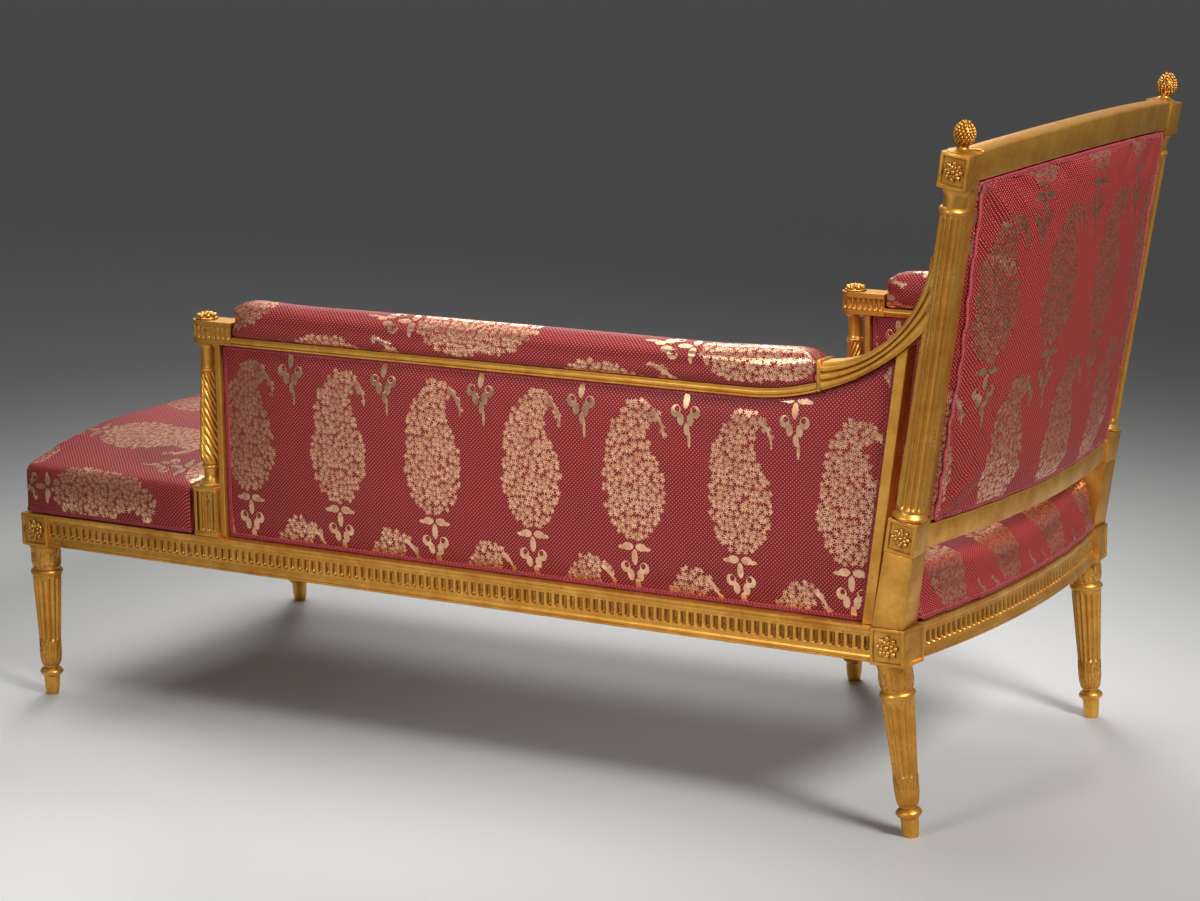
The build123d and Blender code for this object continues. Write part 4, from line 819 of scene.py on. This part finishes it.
def rail_outline():
    """Moulded rail section, as (distance out from the inner face, height) points from the bottom up."""
    depth, base = RAIL_DEPTH, RAIL_BOTTOM
    band = depth - size("frieze_recess")
    frieze = band - size("flute_depth") - 0.6
    low = FRIEZE_BOTTOM
    high = low + size("frieze_height")
    return [
        (0, base), (depth - 1.2, base), (depth - 0.2, base + 1), (depth - 0.2, base + 3.4),
        (depth - 1.4, base + 4), *swell((depth - 0.9, base + 4.8), (depth - 3.4, low - 2.2), 1.0, 5),
        (band, low - 1.4), (band, low), (frieze, low), (frieze, high), (band, high), (band, high + 1.2),
        *swell((depth - 3.2, high + 2), (depth - 1.0, RAIL_TOP - 5), -0.9, 5), (depth - 0.6, RAIL_TOP - 4.2),
        (depth, RAIL_TOP - 3.6), (depth, RAIL_TOP - 0.8), (depth - 0.9, RAIL_TOP), (0, RAIL_TOP),
    ]


def frieze_strip(long):
    """Flutes of a rail's band over a length, as close as they fit."""
    count = int(long / size("flute_pitch"))
    return flute_strip(count, long / count, size("frieze_height"), size("flute_width"), size("flute_depth"))


def straight_rail(name, start, run, long):
    """Moulded and fluted rail from a start on its inner edge."""
    shape = bmesh.new()
    start, run = Vector(start), Vector(run)
    outward = run.cross(Vector((0, 0, 1)))
    outline = [shape.verts.new(start + outward * out + Vector((0, 0, z))) for out, z in rail_outline()]
    face = shape.faces.new(outline)
    made = bmesh.ops.extrude_face_region(shape, geom=[face], use_keep_orig=True)["geom"]
    bmesh.ops.translate(shape, vec=run * long, verts=verts_of(made))
    out = RAIL_DEPTH - size("frieze_recess")
    high = FRIEZE_BOTTOM + size("frieze_height") / 2
    middle = start + run * (long / 2) + outward * out + Vector((0, 0, high))
    merge(shape, frieze_strip(long), placed(middle, (0, 0, 1), run))
    finish_piece(f"fluted_{name}", shape, name, 30)


class CHAISE_OT_rails(bpy.types.Operator):
    """Moulded seat rails with a frieze of round-ended flutes"""

    bl_idname = "chaise.rails"
    bl_label = "Seat rails"

    def execute(self, context):
        tenon = size("tenon")
        start, end = RAIL_LOW.y + tenon, RAIL_HIGH.y - tenon
        inner = RAIL_LOW.x
        stop = SHORT_Y - DIE / 2
        straight_rail("side_rail_near", (inner, start, 0), (0, 1, 0), end - start)
        straight_rail("side_rail_far_front", (-inner, stop, 0), (0, -1, 0), stop - start)
        straight_rail("side_rail_far_rear", (-inner, end, 0), (0, -1, 0), end - SHORT_Y - DIE / 2)
        front = box_mm("front_rail")[1]
        across = front.x - tenon
        straight_rail("front_rail", (-across, front.y, 0), (1, 0, 0), 2 * across)
        # Bowed rear rail: the same section spun about the middle of the bow
        shape = bmesh.new()
        radius = size("bow_radius")
        centre = Vector((0, BOW_HIGH.y - radius, 0))
        turn = across / (radius - RAIL_DEPTH)
        outline = []
        for out, z in rail_outline():
            reach = radius - RAIL_DEPTH + out
            outline.append(shape.verts.new(centre + Vector((reach * sin(turn), reach * cos(turn), z))))
        face = shape.faces.new(outline)
        bmesh.ops.spin(shape, geom=[face], cent=centre, axis=(0, 0, 1), angle=2 * turn, steps=32)
        for side in (1, -1):
            cut_away(shape, (side * across, 0, 0), (side, 0, 0))
        bmesh.ops.holes_fill(shape, edges=shape.edges, sides=0)
        strip = frieze_strip(2 * across)
        face_radius = radius - size("frieze_recess")
        high = FRIEZE_BOTTOM + size("frieze_height") / 2
        for vert in strip.verts:
            bearing = vert.co.x / face_radius
            reach = face_radius - vert.co.y
            vert.co = centre + Vector((-reach * sin(bearing), reach * cos(bearing), vert.co.z + high))
        merge(shape, strip)
        finish_piece("fluted_rear_rail", shape, "rear_rail", 30)
        return {"FINISHED"}


class CHAISE_OT_supports(bpy.types.Operator):
    """Arm supports: fluted plinth, bell, spiral baluster, ring and neck"""

    bl_idname = "chaise.supports"
    bl_label = "Arm supports"

    def execute(self, context):
        for name, side, y in (("arm_support_near", 1, LONG_Y), ("arm_support_far", -1, SHORT_Y)):
            shape = bmesh.new()
            half, tall = size("plinth") / 2, size("plinth_height")
            depth = 4.0
            merge(shape, block((-half, -half, 0), (half, half, 8)))
            merge(shape, block((-half, -half, tall - 8), (half, half, tall)))
            core = half - depth - 0.8
            merge(shape, block((-core, -core, 4), (core, core, tall - 4)))
            strip = flute_strip(4, (2 * half - 3) / 4, tall - 14, 8.4, depth)
            sides = [
                Matrix.Rotation(index * pi / 2, 4, "Z") @ Matrix.Translation((0, -half + 0.9, tall / 2))
                for index in range(4)
            ]
            merge(shape, strip, *sides)
            bell = tall + size("bell_height")
            merge(shape, turned([
                (half - 1.2, tall - 1), (half - 1.2, tall + 2),
                *swell((half - 3, tall + 3), (14.0, bell - 9), -4.0, 8), (14.0, bell - 8),
                *swell((14.2, bell - 7), (14.2, bell), 2.6), (12, bell + 1),
            ]))
            high = size("baluster_height")
            wide, head = size("baluster_radius"), 13.0
            levels = []
            for step in range(61):
                share = step / 60
                low = min(1.0, share / 0.13)
                fat = 14.6 + (wide - 14.6) * sin(pi / 2 * low)
                fall = max(0.0, (share - 0.13) / 0.87)
                radius = fat + (head - wide) * fall**0.9
                fade = min(1.0, share / 0.05, (1 - share) / 0.05)
                levels.append((bell + share * high, radius, 3.2 * sqrt(max(0.0, fade)) * radius / wide,
                               -side * share * size("baluster_turn")))
            merge(shape, fluted(levels, 11, 8, True))
            ring = bell + high
            neck = ARM_BOTTOM - RAIL_TOP
            merge(shape, turned([
                (12, ring - 1), *swell((13.2, ring), (13.2, ring + 7), 2.2), (12.6, ring + 8),
                (12.4, ring + 10), (12.2, neck - 9), *swell((12.4, neck - 8), (18.6, neck - 2), -1.4),
                (19, neck - 1.6), (19, neck),
            ]))
            bmesh.ops.translate(shape, vec=(side * LEG_X, y, RAIL_TOP), verts=shape.verts)
            finish_piece(f"carved_{name}", shape, name, 32)
        return {"FINISHED"}


def arm_shape(support_y):
    """Near arm: fluted block over the support, moulded band under the pad, reeded sweep to the post."""
    shape = bmesh.new()
    rear_y = rear_die_y()
    half = size("arm_width") / 2
    top = ARM_BOTTOM + size("arm_block_height")
    back = support_y + size("arm_block_length")
    # Block: a round-fronted plan, with plain bands above and below a fluted belt
    plain, belt_inset = 8, 4.4
    for low, high, reach in (
        (ARM_BOTTOM, ARM_BOTTOM + plain, half), (ARM_BOTTOM + plain - 2, top - plain + 2, half - belt_inset),
        (top - plain, top, half),
    ):
        bearings = [pi * step / 16 for step in range(17)]
        plan = [(LEG_X - reach * cos(bearing), support_y - reach * sin(bearing)) for bearing in bearings]
        plan += [(LEG_X + reach, back), (LEG_X - reach, back)]
        face = shape.faces.new([shape.verts.new((x, y, low)) for x, y in plan])
        made = bmesh.ops.extrude_face_region(shape, geom=[face], use_keep_orig=True)["geom"]
        bmesh.ops.translate(shape, vec=(0, 0, high - low), verts=verts_of(made))
    out = half - 0.8
    straight = back - support_y
    belt = 2 * straight + pi * out
    count = round(belt / 9.4)
    strip = flute_strip(count, belt / count, top - ARM_BOTTOM - 14, 7.0, 2.8)
    for vert in strip.verts:
        along, sunk = vert.co.x, out - vert.co.y
        if abs(along) <= pi * out / 2:
            bearing = along / out - pi / 2
            spot = (LEG_X + sunk * cos(bearing), support_y + sunk * sin(bearing))
        else:
            side = 1 if along > 0 else -1
            spot = (LEG_X + side * sunk, support_y + abs(along) - pi * out / 2)
        vert.co = (*spot, vert.co.z + (ARM_BOTTOM + top) / 2)
    merge(shape, strip)
    merge(shape, turned([(17.5, -1), *swell((17, 0), (17, 3), 0.8), (15.6, 3.6)], 32),
          Matrix.Translation((LEG_X, support_y, top)))
    merge(shape, flower(17, 9), Matrix.Translation((LEG_X, support_y, top + 2.5)))
    # Band: a half-round moulding on a flat fillet, that follows the lower edge up to the collar
    sweep_y = rear_y - size("arm_sweep_start")
    sweep_z = ARM_BOTTOM + size("arm_under_radius")
    collar = rear_y - size("arm_collar")

    def under(y, lift=0.0):
        """Height of the arm's lower edge, or of a line parallel to it."""
        if y < sweep_y:
            return ARM_BOTTOM + lift
        return sweep_z - sqrt((size("arm_under_radius") - lift) ** 2 - (y - sweep_y) ** 2)

    def aside(y):
        """How far the arm has curved out towards the leaning post."""
        run = rear_y + 93 - sweep_y
        return size("arm_splay") * max(0.0, (y - sweep_y) / run) ** 2

    band = size("arm_band")
    section = [
        (half - 1.6, 0.0), (half - 1.0, 2.6), *swell((half - 2.2, 3.4), (half - 2.2, band - 1.6), 2.2, 6),
        (half - 3, band),
    ]
    section += [(-out_x, z) for out_x, z in reversed(section)]
    ys = [back - 1] + [sweep_y + (collar + 2 - sweep_y) * step / 10 for step in range(11)]
    ring = []
    for y in ys:
        points = [Vector((LEG_X + x + aside(y), y, under(y, z))) for x, z in section]
        ring = extend_loop(shape, ring, points)
    # Sweep: three reeds on each side, fanning from the collar up to the column
    hollow_y, hollow_z = rear_y - size("arm_top_back"), size("arm_top_height")
    steps, reeds = 20, 3
    end_y = rear_y + 76
    ring = []
    for step in range(steps + 1):
        share = step / steps
        low_y = collar - 3 + (end_y + 16 - collar) * share
        bearing = radians(-88.5 + 80 * share)
        high = Vector((0, hollow_y + size("arm_top_radius") * cos(bearing) - 6.5 * share**2,
                       hollow_z + size("arm_top_radius") * sin(bearing)))
        low = Vector((0, low_y, under(low_y)))
        points = []
        wide = half - 1.0 - 4.5 * share**4
        for index in range(reeds * 6 + 1):
            t = index / (reeds * 6)
            bead = abs(sin(pi * reeds * t)) ** 0.6
            points.append((low.lerp(high, 0.06 + 0.88 * t), wide - 3.6 + 3.6 * bead))
        rim = [(low.lerp(high, 0.0), wide - 5), *points, (low.lerp(high, 1.0), wide - 4)]
        loop = [Vector((LEG_X + x + aside(p.y), p.y, p.z)) for p, x in rim]
        loop += [Vector((LEG_X - x + aside(p.y), p.y, p.z)) for p, x in reversed(rim)]
        ring = extend_loop(shape, ring, loop)
    # Collar: a rounded lip where the pad ends
    lip = bmesh.new()
    bmesh.ops.create_cube(lip, size=1)
    tall_lip = hollow_z - size("arm_top_radius") + 3.5 - under(collar)
    bmesh.ops.scale(lip, vec=(2 * half + 1.0, 7, tall_lip), verts=lip.verts)
    bmesh.ops.bevel(
        lip, geom=lip.edges[:], offset=3.0, offset_type="OFFSET", segments=3, profile=0.5, affect="EDGES",
        material=-1,
    )
    merge(shape, lip, Matrix.Translation((LEG_X + aside(collar), collar + 3, under(collar) + tall_lip / 2)))
    bmesh.ops.holes_fill(shape, edges=[edge for edge in shape.edges if edge.is_boundary], sides=0)
    return shape


def extend_loop(shape, ring, points):
    """Carry a closed loop of vertices on to the next points, with a band of faces between."""
    fresh = [shape.verts.new(point) for point in points]
    if not ring:
        shape.faces.new(fresh)
    edges = [shape.edges.get(pair) or shape.edges.new(pair) for pair in zip(fresh, fresh[1:] + fresh[:1])]
    if ring:
        old = [shape.edges.get(pair) for pair in zip(ring, ring[1:] + ring[:1])]
        bmesh.ops.bridge_loops(shape, edges=old + edges)
    return fresh


class CHAISE_OT_arms(bpy.types.Operator):
    """Arms: carved block, moulded band and reeded sweep"""

    bl_idname = "chaise.arms"
    bl_label = "Arms"

    def execute(self, context):
        for name, side, y in (("long_arm", 1, LONG_Y), ("short_arm", -1, SHORT_Y)):
            shape = arm_shape(y)
            bmesh.ops.scale(shape, vec=(side, 1, 1), verts=shape.verts)
            finish_piece(f"carved_{name}", shape, name, 34)
        return {"FINISHED"}


class CHAISE_OT_joinery(bpy.types.Operator):
    """Plain gilded members and the platform under the seat, as packed, with softened edges"""

    bl_idname = "chaise.joinery"
    bl_label = "Plain members"

    def execute(self, context):
        linen = plain_weave("Linen canvas", tint("canvas"), 1.6, 0.9)
        jute = plain_weave("Jute webbing", tint("jute"), 3.0, 0.9)
        gold, beech = gilding(), bare_beech()
        finishes = {
            "crest_rail": (gold, 4.0), "back_lower_rail": (gold, 2.0), "long_front_stile": (gold, 1.5),
            "short_front_stile": (gold, 1.5), "long_rear_stile": (gold, 1.5), "short_rear_stile": (gold, 1.5),
            "cross_rail": (beech, 2.0), "corner_blocks": (beech, 1.0), "back_canvas": (linen, 0.0),
            "long_panel_canvas": (linen, 0.0), "short_panel_canvas": (linen, 0.0),
            "seat_hessian": (linen, 0.0), "seat_webbing": (jute, 0.0),
        }
        for name, (material, soften) in finishes.items():
            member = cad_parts[name]
            member.data.materials.clear()
            member.data.materials.append(material)
            if soften:
                member.modifiers.new("weld", "WELD").merge_threshold = 0.01 * MM
                round_edges = member.modifiers.new("soften", "BEVEL")
                round_edges.width = soften * MM
                round_edges.segments = 3
                round_edges.angle_limit = radians(40)
                round_edges.harden_normals = True
        return {"FINISHED"}


def stuffed(node, name, voxel, cap, shrink, fit, held):
    """Soft piece for a packed pad: remeshed, drawn in by the shrink, swelled by a short cloth run that
    moves no point past the cap and keeps the held ones, then stretched along the fit axes to the packed
    outline, since the remesh draws it in."""
    shape = bmesh.new()
    shape.from_mesh(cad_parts[node].data)
    bmesh.ops.remove_doubles(shape, verts=shape.verts, dist=1e-5)
    mesh = bpy.data.meshes.new(name)
    shape.to_mesh(mesh)
    shape.free()
    pad = bpy.data.objects.new(name, mesh)
    scene = bpy.context.scene
    scene.collection.objects.link(pad)
    remesh = pad.modifiers.new("remesh", "REMESH")
    remesh.mode = "VOXEL"
    remesh.voxel_size = voxel * MM
    even = bpy.data.meshes.new_from_object(pad.evaluated_get(bpy.context.evaluated_depsgraph_get()))
    pad.modifiers.clear()
    pad.data = even
    pinned = pad.vertex_groups.new(name="held")
    normals = [vert.normal.copy() for vert in even.vertices]
    for vert, normal in zip(even.vertices, normals):
        if held(vert.co / MM, normal):
            pinned.add([vert.index], 1.0, "REPLACE")
        else:
            vert.co -= normal * shrink * MM
    start = [vert.co.copy() for vert in even.vertices]
    cloth = pad.modifiers.new("stuffing", "CLOTH")
    cloth.settings.quality = 4
    cloth.settings.use_pressure = True
    cloth.settings.uniform_pressure_force = 4.0
    cloth.settings.effector_weights.gravity = 0
    cloth.settings.vertex_group_mass = "held"
    cloth.point_cache.frame_end = CLOTH_FRAMES
    for number in range(1, CLOTH_FRAMES + 1):
        scene.frame_set(number)
    swelled = pad.evaluated_get(bpy.context.evaluated_depsgraph_get()).data
    moved = [vert.co.copy() for vert in swelled.vertices]
    pad.modifiers.clear()
    scene.frame_set(1)
    for vert, was, now in zip(even.vertices, start, moved):
        shift = now - was
        if shift.length > cap * MM:
            shift = shift.normalized() * cap * MM
        vert.co = was + shift
    shape = bmesh.new()
    shape.from_mesh(even)
    for _ in range(2):
        bmesh.ops.smooth_vert(
            shape, verts=shape.verts, factor=0.5, use_axis_x=True, use_axis_y=True, use_axis_z=True
        )
    shape.to_mesh(even)
    shape.free()
    low, high = box_mm(node)
    for axis in fit:
        places = [vert.co[axis] for vert in even.vertices]
        least, most = min(places), max(places)
        stretch = (high[axis] - low[axis]) * MM / (most - least)
        for vert in even.vertices:
            vert.co[axis] = low[axis] * MM + (vert.co[axis] - least) * stretch
    even.shade_smooth()
    return pad


def lay_cloth(pad, node, unroll):
    """Give a pad its brocade, with the weave laid flat by `unroll`, and hand it over as a padded piece."""
    weave = pad.data.uv_layers.new(name="weave")
    for loop in pad.data.loops:
        spot = pad.data.vertices[loop.vertex_index].co / MM
        weave.data[loop.index].uv = Vector(unroll(spot)) * MM
    pad.data.materials.clear()
    pad.data.materials.append(brocade())
    finer = pad.modifiers.new("smooth", "SUBSURF")
    finer.levels = finer.render_levels = 1
    finer.uv_smooth = "NONE"
    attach(pad, "root")
    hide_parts(node)
    return pad


class CHAISE_OT_arm_panels(bpy.types.Operator):
    """Upholstered panels of the arms, inside and out"""

    bl_idname = "chaise.arm_panels"
    bl_label = "Arm panels"

    def execute(self, context):
        for word in ("long", "short"):
            side = 1 if word == "long" else -1
            for where in ("outer", "inner"):
                node = f"{word}_{where}_pad"
                low, high = box_mm(node)
                facing = side * (1 if where == "outer" else -1)
                back = low.x if facing > 0 else high.x

                def held(spot, normal):
                    return abs(spot.x - back) < 4

                def unroll(spot):
                    return (facing * (spot.y - BOTEH_Y), spot.z - BOTEH_Z)

                pad = stuffed(node, f"silk_{node}", voxel=7, cap=6, shrink=1.5, fit=(1, 2), held=held)
                lay_cloth(pad, node, unroll)
        return {"FINISHED"}


class CHAISE_OT_arm_pads(bpy.types.Operator):
    """Rolled pads on the arms"""

    bl_idname = "chaise.arm_pads"
    bl_label = "Arm pads"

    def execute(self, context):
        for word, side in (("long", 1), ("short", -1)):
            node = f"{word}_arm_pad"
            middle = side * LEG_X
            core = box_mm(node)[0].z + 24

            def held(spot, normal):
                return normal.z < -0.7

            def unroll(spot):
                around = 34 * atan2(spot.x - middle, spot.z - core)
                return (-side * around + 20, side * spot.y)

            pad = stuffed(node, f"silk_{node}", voxel=6, cap=8, shrink=2.5, fit=(1,), held=held)
            lay_cloth(pad, node, unroll)
        return {"FINISHED"}


class CHAISE_OT_seat(bpy.types.Operator):
    """Domed seat pad"""

    bl_idname = "chaise.seat"
    bl_label = "Seat"

    def execute(self, context):
        low, high = box_mm("seat_pad")
        edge = low.z + 82
        half = high.x - 5

        def held(spot, normal):
            rim = abs(spot.x) > half - 22 or spot.y < low.y + 24
            return spot.z < low.z + 10 or (rim and abs(spot.z - edge + 4) < 9)

        def unroll(spot):
            drop = max(0.0, edge - spot.z)
            at_side = max(0.0, min(1.0, (abs(spot.x) - half + 25) / 25))
            at_front = max(0.0, min(1.0, (low.y + 30 - spot.y) / 25))
            at_rear = 1.0 if spot.y > RAIL_HIGH.y - size("tenon") else 0.0
            x = spot.x + (drop if spot.x > 0 else -drop) * at_side
            return (x + 30, spot.y - drop * at_front + drop * at_rear)

        pad = stuffed("seat_pad", "silk_seat_pad", voxel=11, cap=12, shrink=3, fit=(0, 1), held=held)
        lay_cloth(pad, "seat_pad", unroll)
        return {"FINISHED"}


def back_edge(z):
    """Half width of the back between its stiles at a height."""
    return LEG_X - size("stile_reach") + tan(size("post_splay")) * (z - RAIL_TOP)


class CHAISE_OT_back(bpy.types.Operator):
    """Padded back: full in front, thin behind"""

    bl_idname = "chaise.back"
    bl_label = "Back"

    def execute(self, context):
        for node, facing, cap, shrink in (("back_front_pad", -1, 14, 3), ("back_rear_pad", 1, 6, 1.5)):
            low = box_mm(node)[0]
            lean, bow = tan(size("post_rake")), size("bow_radius")

            def held(spot, normal):
                return normal.y * facing < -0.6

            def level(spot):
                """How far out a spot of the bowed and leaning pad stands."""
                return facing * (spot.y + bow - sqrt(bow**2 - spot.x**2) - lean * spot.z)

            def unroll(spot):
                at_side = max(0.0, min(1.0, (abs(spot.x) - back_edge(spot.z) + 12) / 8))
                across = spot.x + copysign((crown - level(spot)) * at_side, spot.x)
                return (-facing * across, (spot.z - low.z) * sqrt(1 + lean**2) - 60)

            pad = stuffed(node, f"silk_{node}", voxel=7, cap=cap, shrink=shrink, fit=(0, 2), held=held)
            if facing > 0:
                for vert in pad.data.vertices:
                    vert.co.y += size("back_proud") * MM * max(0.0, vert.normal.y)
            crown = max(level(vert.co / MM) for vert in pad.data.vertices)
            lay_cloth(pad, node, unroll)
        return {"FINISHED"}


def gimp(name, pad, path):
    """Braided gimp laid on a pad along a path of (point, direction to the pad) pairs: two strands that
    cross as they run."""
    view = bpy.context.evaluated_depsgraph_get()
    skin = BVHTree.FromObject(bpy.data.objects[pad], view)
    step = size("gimp_pitch") / 6
    spots = []
    for (start, look), (end, _) in zip(path, path[1:]):
        look = Vector(look)
        count = max(1, round((Vector(end) - Vector(start)).length / step))
        for index in range(count):
            spot = Vector(start).lerp(Vector(end), index / count)
            hit = skin.ray_cast((spot - look * 200) * MM, look)[0]
            if hit:
                spots.append((hit / MM, (Vector(end) - Vector(start)).normalized(), -look))
    data = bpy.data.curves.new(name, "CURVE")
    data.dimensions = "3D"
    data.bevel_depth = size("gimp_radius") * MM
    data.bevel_resolution = 1
    for phase in (0.0, pi):
        strand = data.splines.new("POLY")
        strand.points.add(len(spots) - 1)
        for index, (spot, run, outward) in enumerate(spots):
            wave = 2 * pi * index / 6 + phase
            aside = run.cross(outward) * size("gimp_radius") * 1.5 * sin(wave)
            swing = aside + outward * (0.6 + 0.7 * cos(wave))
            strand.points[index].co = (*(spot + swing) * MM, 1)
    curve = bpy.data.objects.new(name, data)
    bpy.context.scene.collection.objects.link(curve)
    mesh = bpy.data.meshes.new_from_object(curve.evaluated_get(bpy.context.evaluated_depsgraph_get()))
    bpy.data.objects.remove(curve)
    mesh.name = name
    mesh.materials.clear()
    mesh.materials.append(plain_weave("Silk gimp", tint("braid"), 1.4, 0.65))
    mesh.shade_smooth()
    braid = bpy.data.objects.new(name, mesh)
    bpy.context.scene.collection.objects.link(braid)
    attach(braid, "root")
    return braid


class CHAISE_OT_gimp(bpy.types.Operator):
    """Braided gimp round the upholstery"""

    bl_idname = "chaise.gimp"
    bl_label = "Gimp"

    def execute(self, context):
        rear_y = rear_die_y()
        sweep_y = rear_y - size("arm_sweep_start")
        sweep_z = ARM_BOTTOM + size("arm_under_radius")
        rake = tan(size("rear_stile_rake"))
        inset = 4.5
        radius = size("arm_under_radius") + inset
        rear_low = RAIL_HIGH.y - size("tenon") - size("rear_stile") - inset

        def rear(z):
            """Rear edge of an arm panel at a height."""
            return rear_low + rake * (z - RAIL_TOP)

        # Round the arm panels, up the raked stile and back along the sweep
        top = ARM_BOTTOM
        while (rear(top) - sweep_y) ** 2 + (top - sweep_z) ** 2 > radius**2:
            top += 1
        start = atan2(top - sweep_z, rear(top) - sweep_y)
        bearings = [start + (-pi / 2 - start) * step / 14 for step in range(15)]
        arc = [(sweep_y + radius * cos(bearing), sweep_z + radius * sin(bearing)) for bearing in bearings]
        for word, side in (("long", 1), ("short", -1)):
            for where, facing in (("outer", side), ("inner", -side)):
                low = box_mm(f"{word}_{where}_pad")[0]
                front, floor = low.y + inset, low.z + inset
                corner = (front, floor)
                outline = [corner, (rear(floor), floor), *arc, (front, ARM_BOTTOM - inset), corner]
                path = [((side * LEG_X, y, z), (-facing, 0, 0)) for y, z in outline]
                gimp(f"gimp_{word}_{where}", f"silk_{word}_{where}_pad", path)

        # Round the back, before and behind
        lean = tan(size("post_rake"))
        for word, facing in (("front", -1), ("rear", 1)):
            low, high = box_mm(f"back_{word}_pad")
            floor, shoulder, crown = low.z + 5, high.z - 19, high.z - 6
            foot, head = back_edge(floor) - 5, back_edge(shoulder) - 5
            shares = [1 - step / 8 for step in range(17)]
            arch = [(head * share, shoulder + (crown - shoulder) * (1 - share**2)) for share in shares]
            outline = [(-foot, floor), (foot, floor), *arch, (-foot, floor)]
            path = [((x, rear_y + lean * (z - RAIL_TOP), z), (0, -facing, 0)) for x, z in outline]
            gimp(f"gimp_back_{word}", f"silk_back_{word}_pad", path)

        # Along the foot of the seat's open sides
        low, high = box_mm("seat_pad")
        foot, half = low.z + 6, high.x - 10
        near_end = LONG_Y - size("plinth") / 2 - 2
        far_end = SHORT_Y - size("plinth") / 2 - 2
        front = low.y + 5
        gimp("gimp_seat_front", "silk_seat_pad", [
            ((half, near_end, foot), (-1, 0, 0)), ((half, front + 12, foot), (-0.6, 0.8, 0)),
            ((half - 12, front, foot), (0, 1, 0)), ((-half + 12, front, foot), (0.6, 0.8, 0)),
            ((-half, front + 12, foot), (1, 0, 0)), ((-half, far_end, foot), (1, 0, 0)),
        ])
        across = LEG_X - DIE / 2 - 2
        gimp("gimp_seat_rear", "silk_seat_pad", [
            ((across * (1 - step / 6), BOW_HIGH.y - 40, foot), (0, -1, 0)) for step in range(13)
        ])
        return {"FINISHED"}


class CHAISE_OT_stage(bpy.types.Operator):
    """Pale floor, soft lights and the camera"""

    bl_idname = "chaise.stage"
    bl_label = "Stage"

    def execute(self, context):
        scene = context.scene
        shape = bmesh.new()
        bmesh.ops.create_grid(shape, x_segments=1, y_segments=1, size=30)
        mesh = bpy.data.meshes.new("studio_floor")
        shape.to_mesh(mesh)
        shape.free()
        material, tree = new_material("Painted floor")
        shader = add(tree, "BsdfPrincipled", {"Base Color": tint("floor"), "Roughness": 0.55})
        add(tree, "OutputMaterial", {0: shader})
        mesh.materials.append(material)
        floor = bpy.data.objects.new("studio_floor", mesh)
        scene.collection.objects.link(floor)

        world = bpy.data.worlds.new("Studio")
        world.use_nodes = True
        tree = world.node_tree
        tree.nodes.clear()
        rays = add(tree, "LightPath")
        seen = rays.outputs["Is Camera Ray"]
        for kind in ("Is Glossy Ray", "Is Transmission Ray"):
            seen = add(tree, "Math", {0: seen, 1: rays.outputs[kind]}, operation="MAXIMUM")
        glow = add(tree, "Background", {"Color": linear("#FFFFFF"), "Strength": 0.06})
        view = add(tree, "Background", {"Color": tint("backdrop"), "Strength": 1.0})
        mixed = add(tree, "MixShader", {0: seen, 1: glow, 2: view})
        add(tree, "OutputWorld", {0: mixed})
        scene.world = world

        for name, spot, aim, wide, power, spread in SOFTBOXES:
            light = bpy.data.lights.new(name, "AREA")
            light.shape = "DISK"
            light.size = wide
            light.energy = power
            light.spread = radians(spread)
            lamp = bpy.data.objects.new(name, light)
            lamp.matrix_world = placed(spot, Vector(spot) - Vector(aim), (0, 1, 0.1))
            scene.collection.objects.link(lamp)

        camera = bpy.data.cameras.new("photo_camera")
        camera.sensor_width = CAMERA_SENSOR
        camera.lens = CAMERA_LENS
        eye = bpy.data.objects.new("photo_camera", camera)
        yaw, pitch, roll = map(radians, CAMERA_TURN)
        forward = Vector((cos(yaw) * cos(pitch), sin(yaw) * cos(pitch), -sin(pitch)))
        right = forward.cross(Vector((0, 0, 1))).normalized()
        above = right.cross(forward)
        across = right * cos(roll) + above * sin(roll)
        upward = above * cos(roll) - right * sin(roll)
        turn = Matrix((across, upward, -forward)).transposed().to_4x4()
        eye.matrix_world = Matrix.Translation(CAMERA_PLACE) @ turn
        scene.collection.objects.link(eye)
        scene.camera = eye
        scene.view_settings.view_transform = "Standard"
        return {"FINISHED"}


class CHAISE_PT_pieces(bpy.types.Panel):
    """Lists the pieces of the chaise in the sidebar"""

    bl_idname = "CHAISE_PT_pieces"
    bl_label = "Chaise longue"
    bl_space_type = "VIEW_3D"
    bl_region_type = "UI"
    bl_category = "Chaise"

    def draw(self, context):
        for operator in OPERATORS:
            self.layout.operator(operator.bl_idname)
        for group in (context.scene.chaise_sizes, context.scene.chaise_cloth, context.scene.chaise_colours):
            for name in group.__annotations__:
                self.layout.prop(group, name)


GROUPS = (
    (ChaiseSizes, "chaise_sizes"), (ChaiseCloth, "chaise_cloth"), (ChaiseColours, "chaise_colours"),
)
OPERATORS = (
    CHAISE_OT_legs, CHAISE_OT_posts, CHAISE_OT_rails, CHAISE_OT_supports, CHAISE_OT_arms, CHAISE_OT_joinery,
    CHAISE_OT_arm_panels, CHAISE_OT_arm_pads, CHAISE_OT_seat, CHAISE_OT_back, CHAISE_OT_gimp, CHAISE_OT_stage,
)


def register():
    for group, name in GROUPS:
        bpy.utils.register_class(group)
        setattr(bpy.types.Scene, name, PointerProperty(type=group))
    for shown in (*OPERATORS, CHAISE_PT_pieces):
        bpy.utils.register_class(shown)


def unregister():
    for shown in reversed((*OPERATORS, CHAISE_PT_pieces)):
        bpy.utils.unregister_class(shown)
    for group, name in reversed(GROUPS):
        delattr(bpy.types.Scene, name)
        bpy.utils.unregister_class(group)


def main():
    """Register the add-on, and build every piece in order."""
    register()
    for operator in OPERATORS:
        family, action = operator.bl_idname.split(".")
        getattr(getattr(bpy.ops, family), action)()


if __name__ == "__main__":
    main()
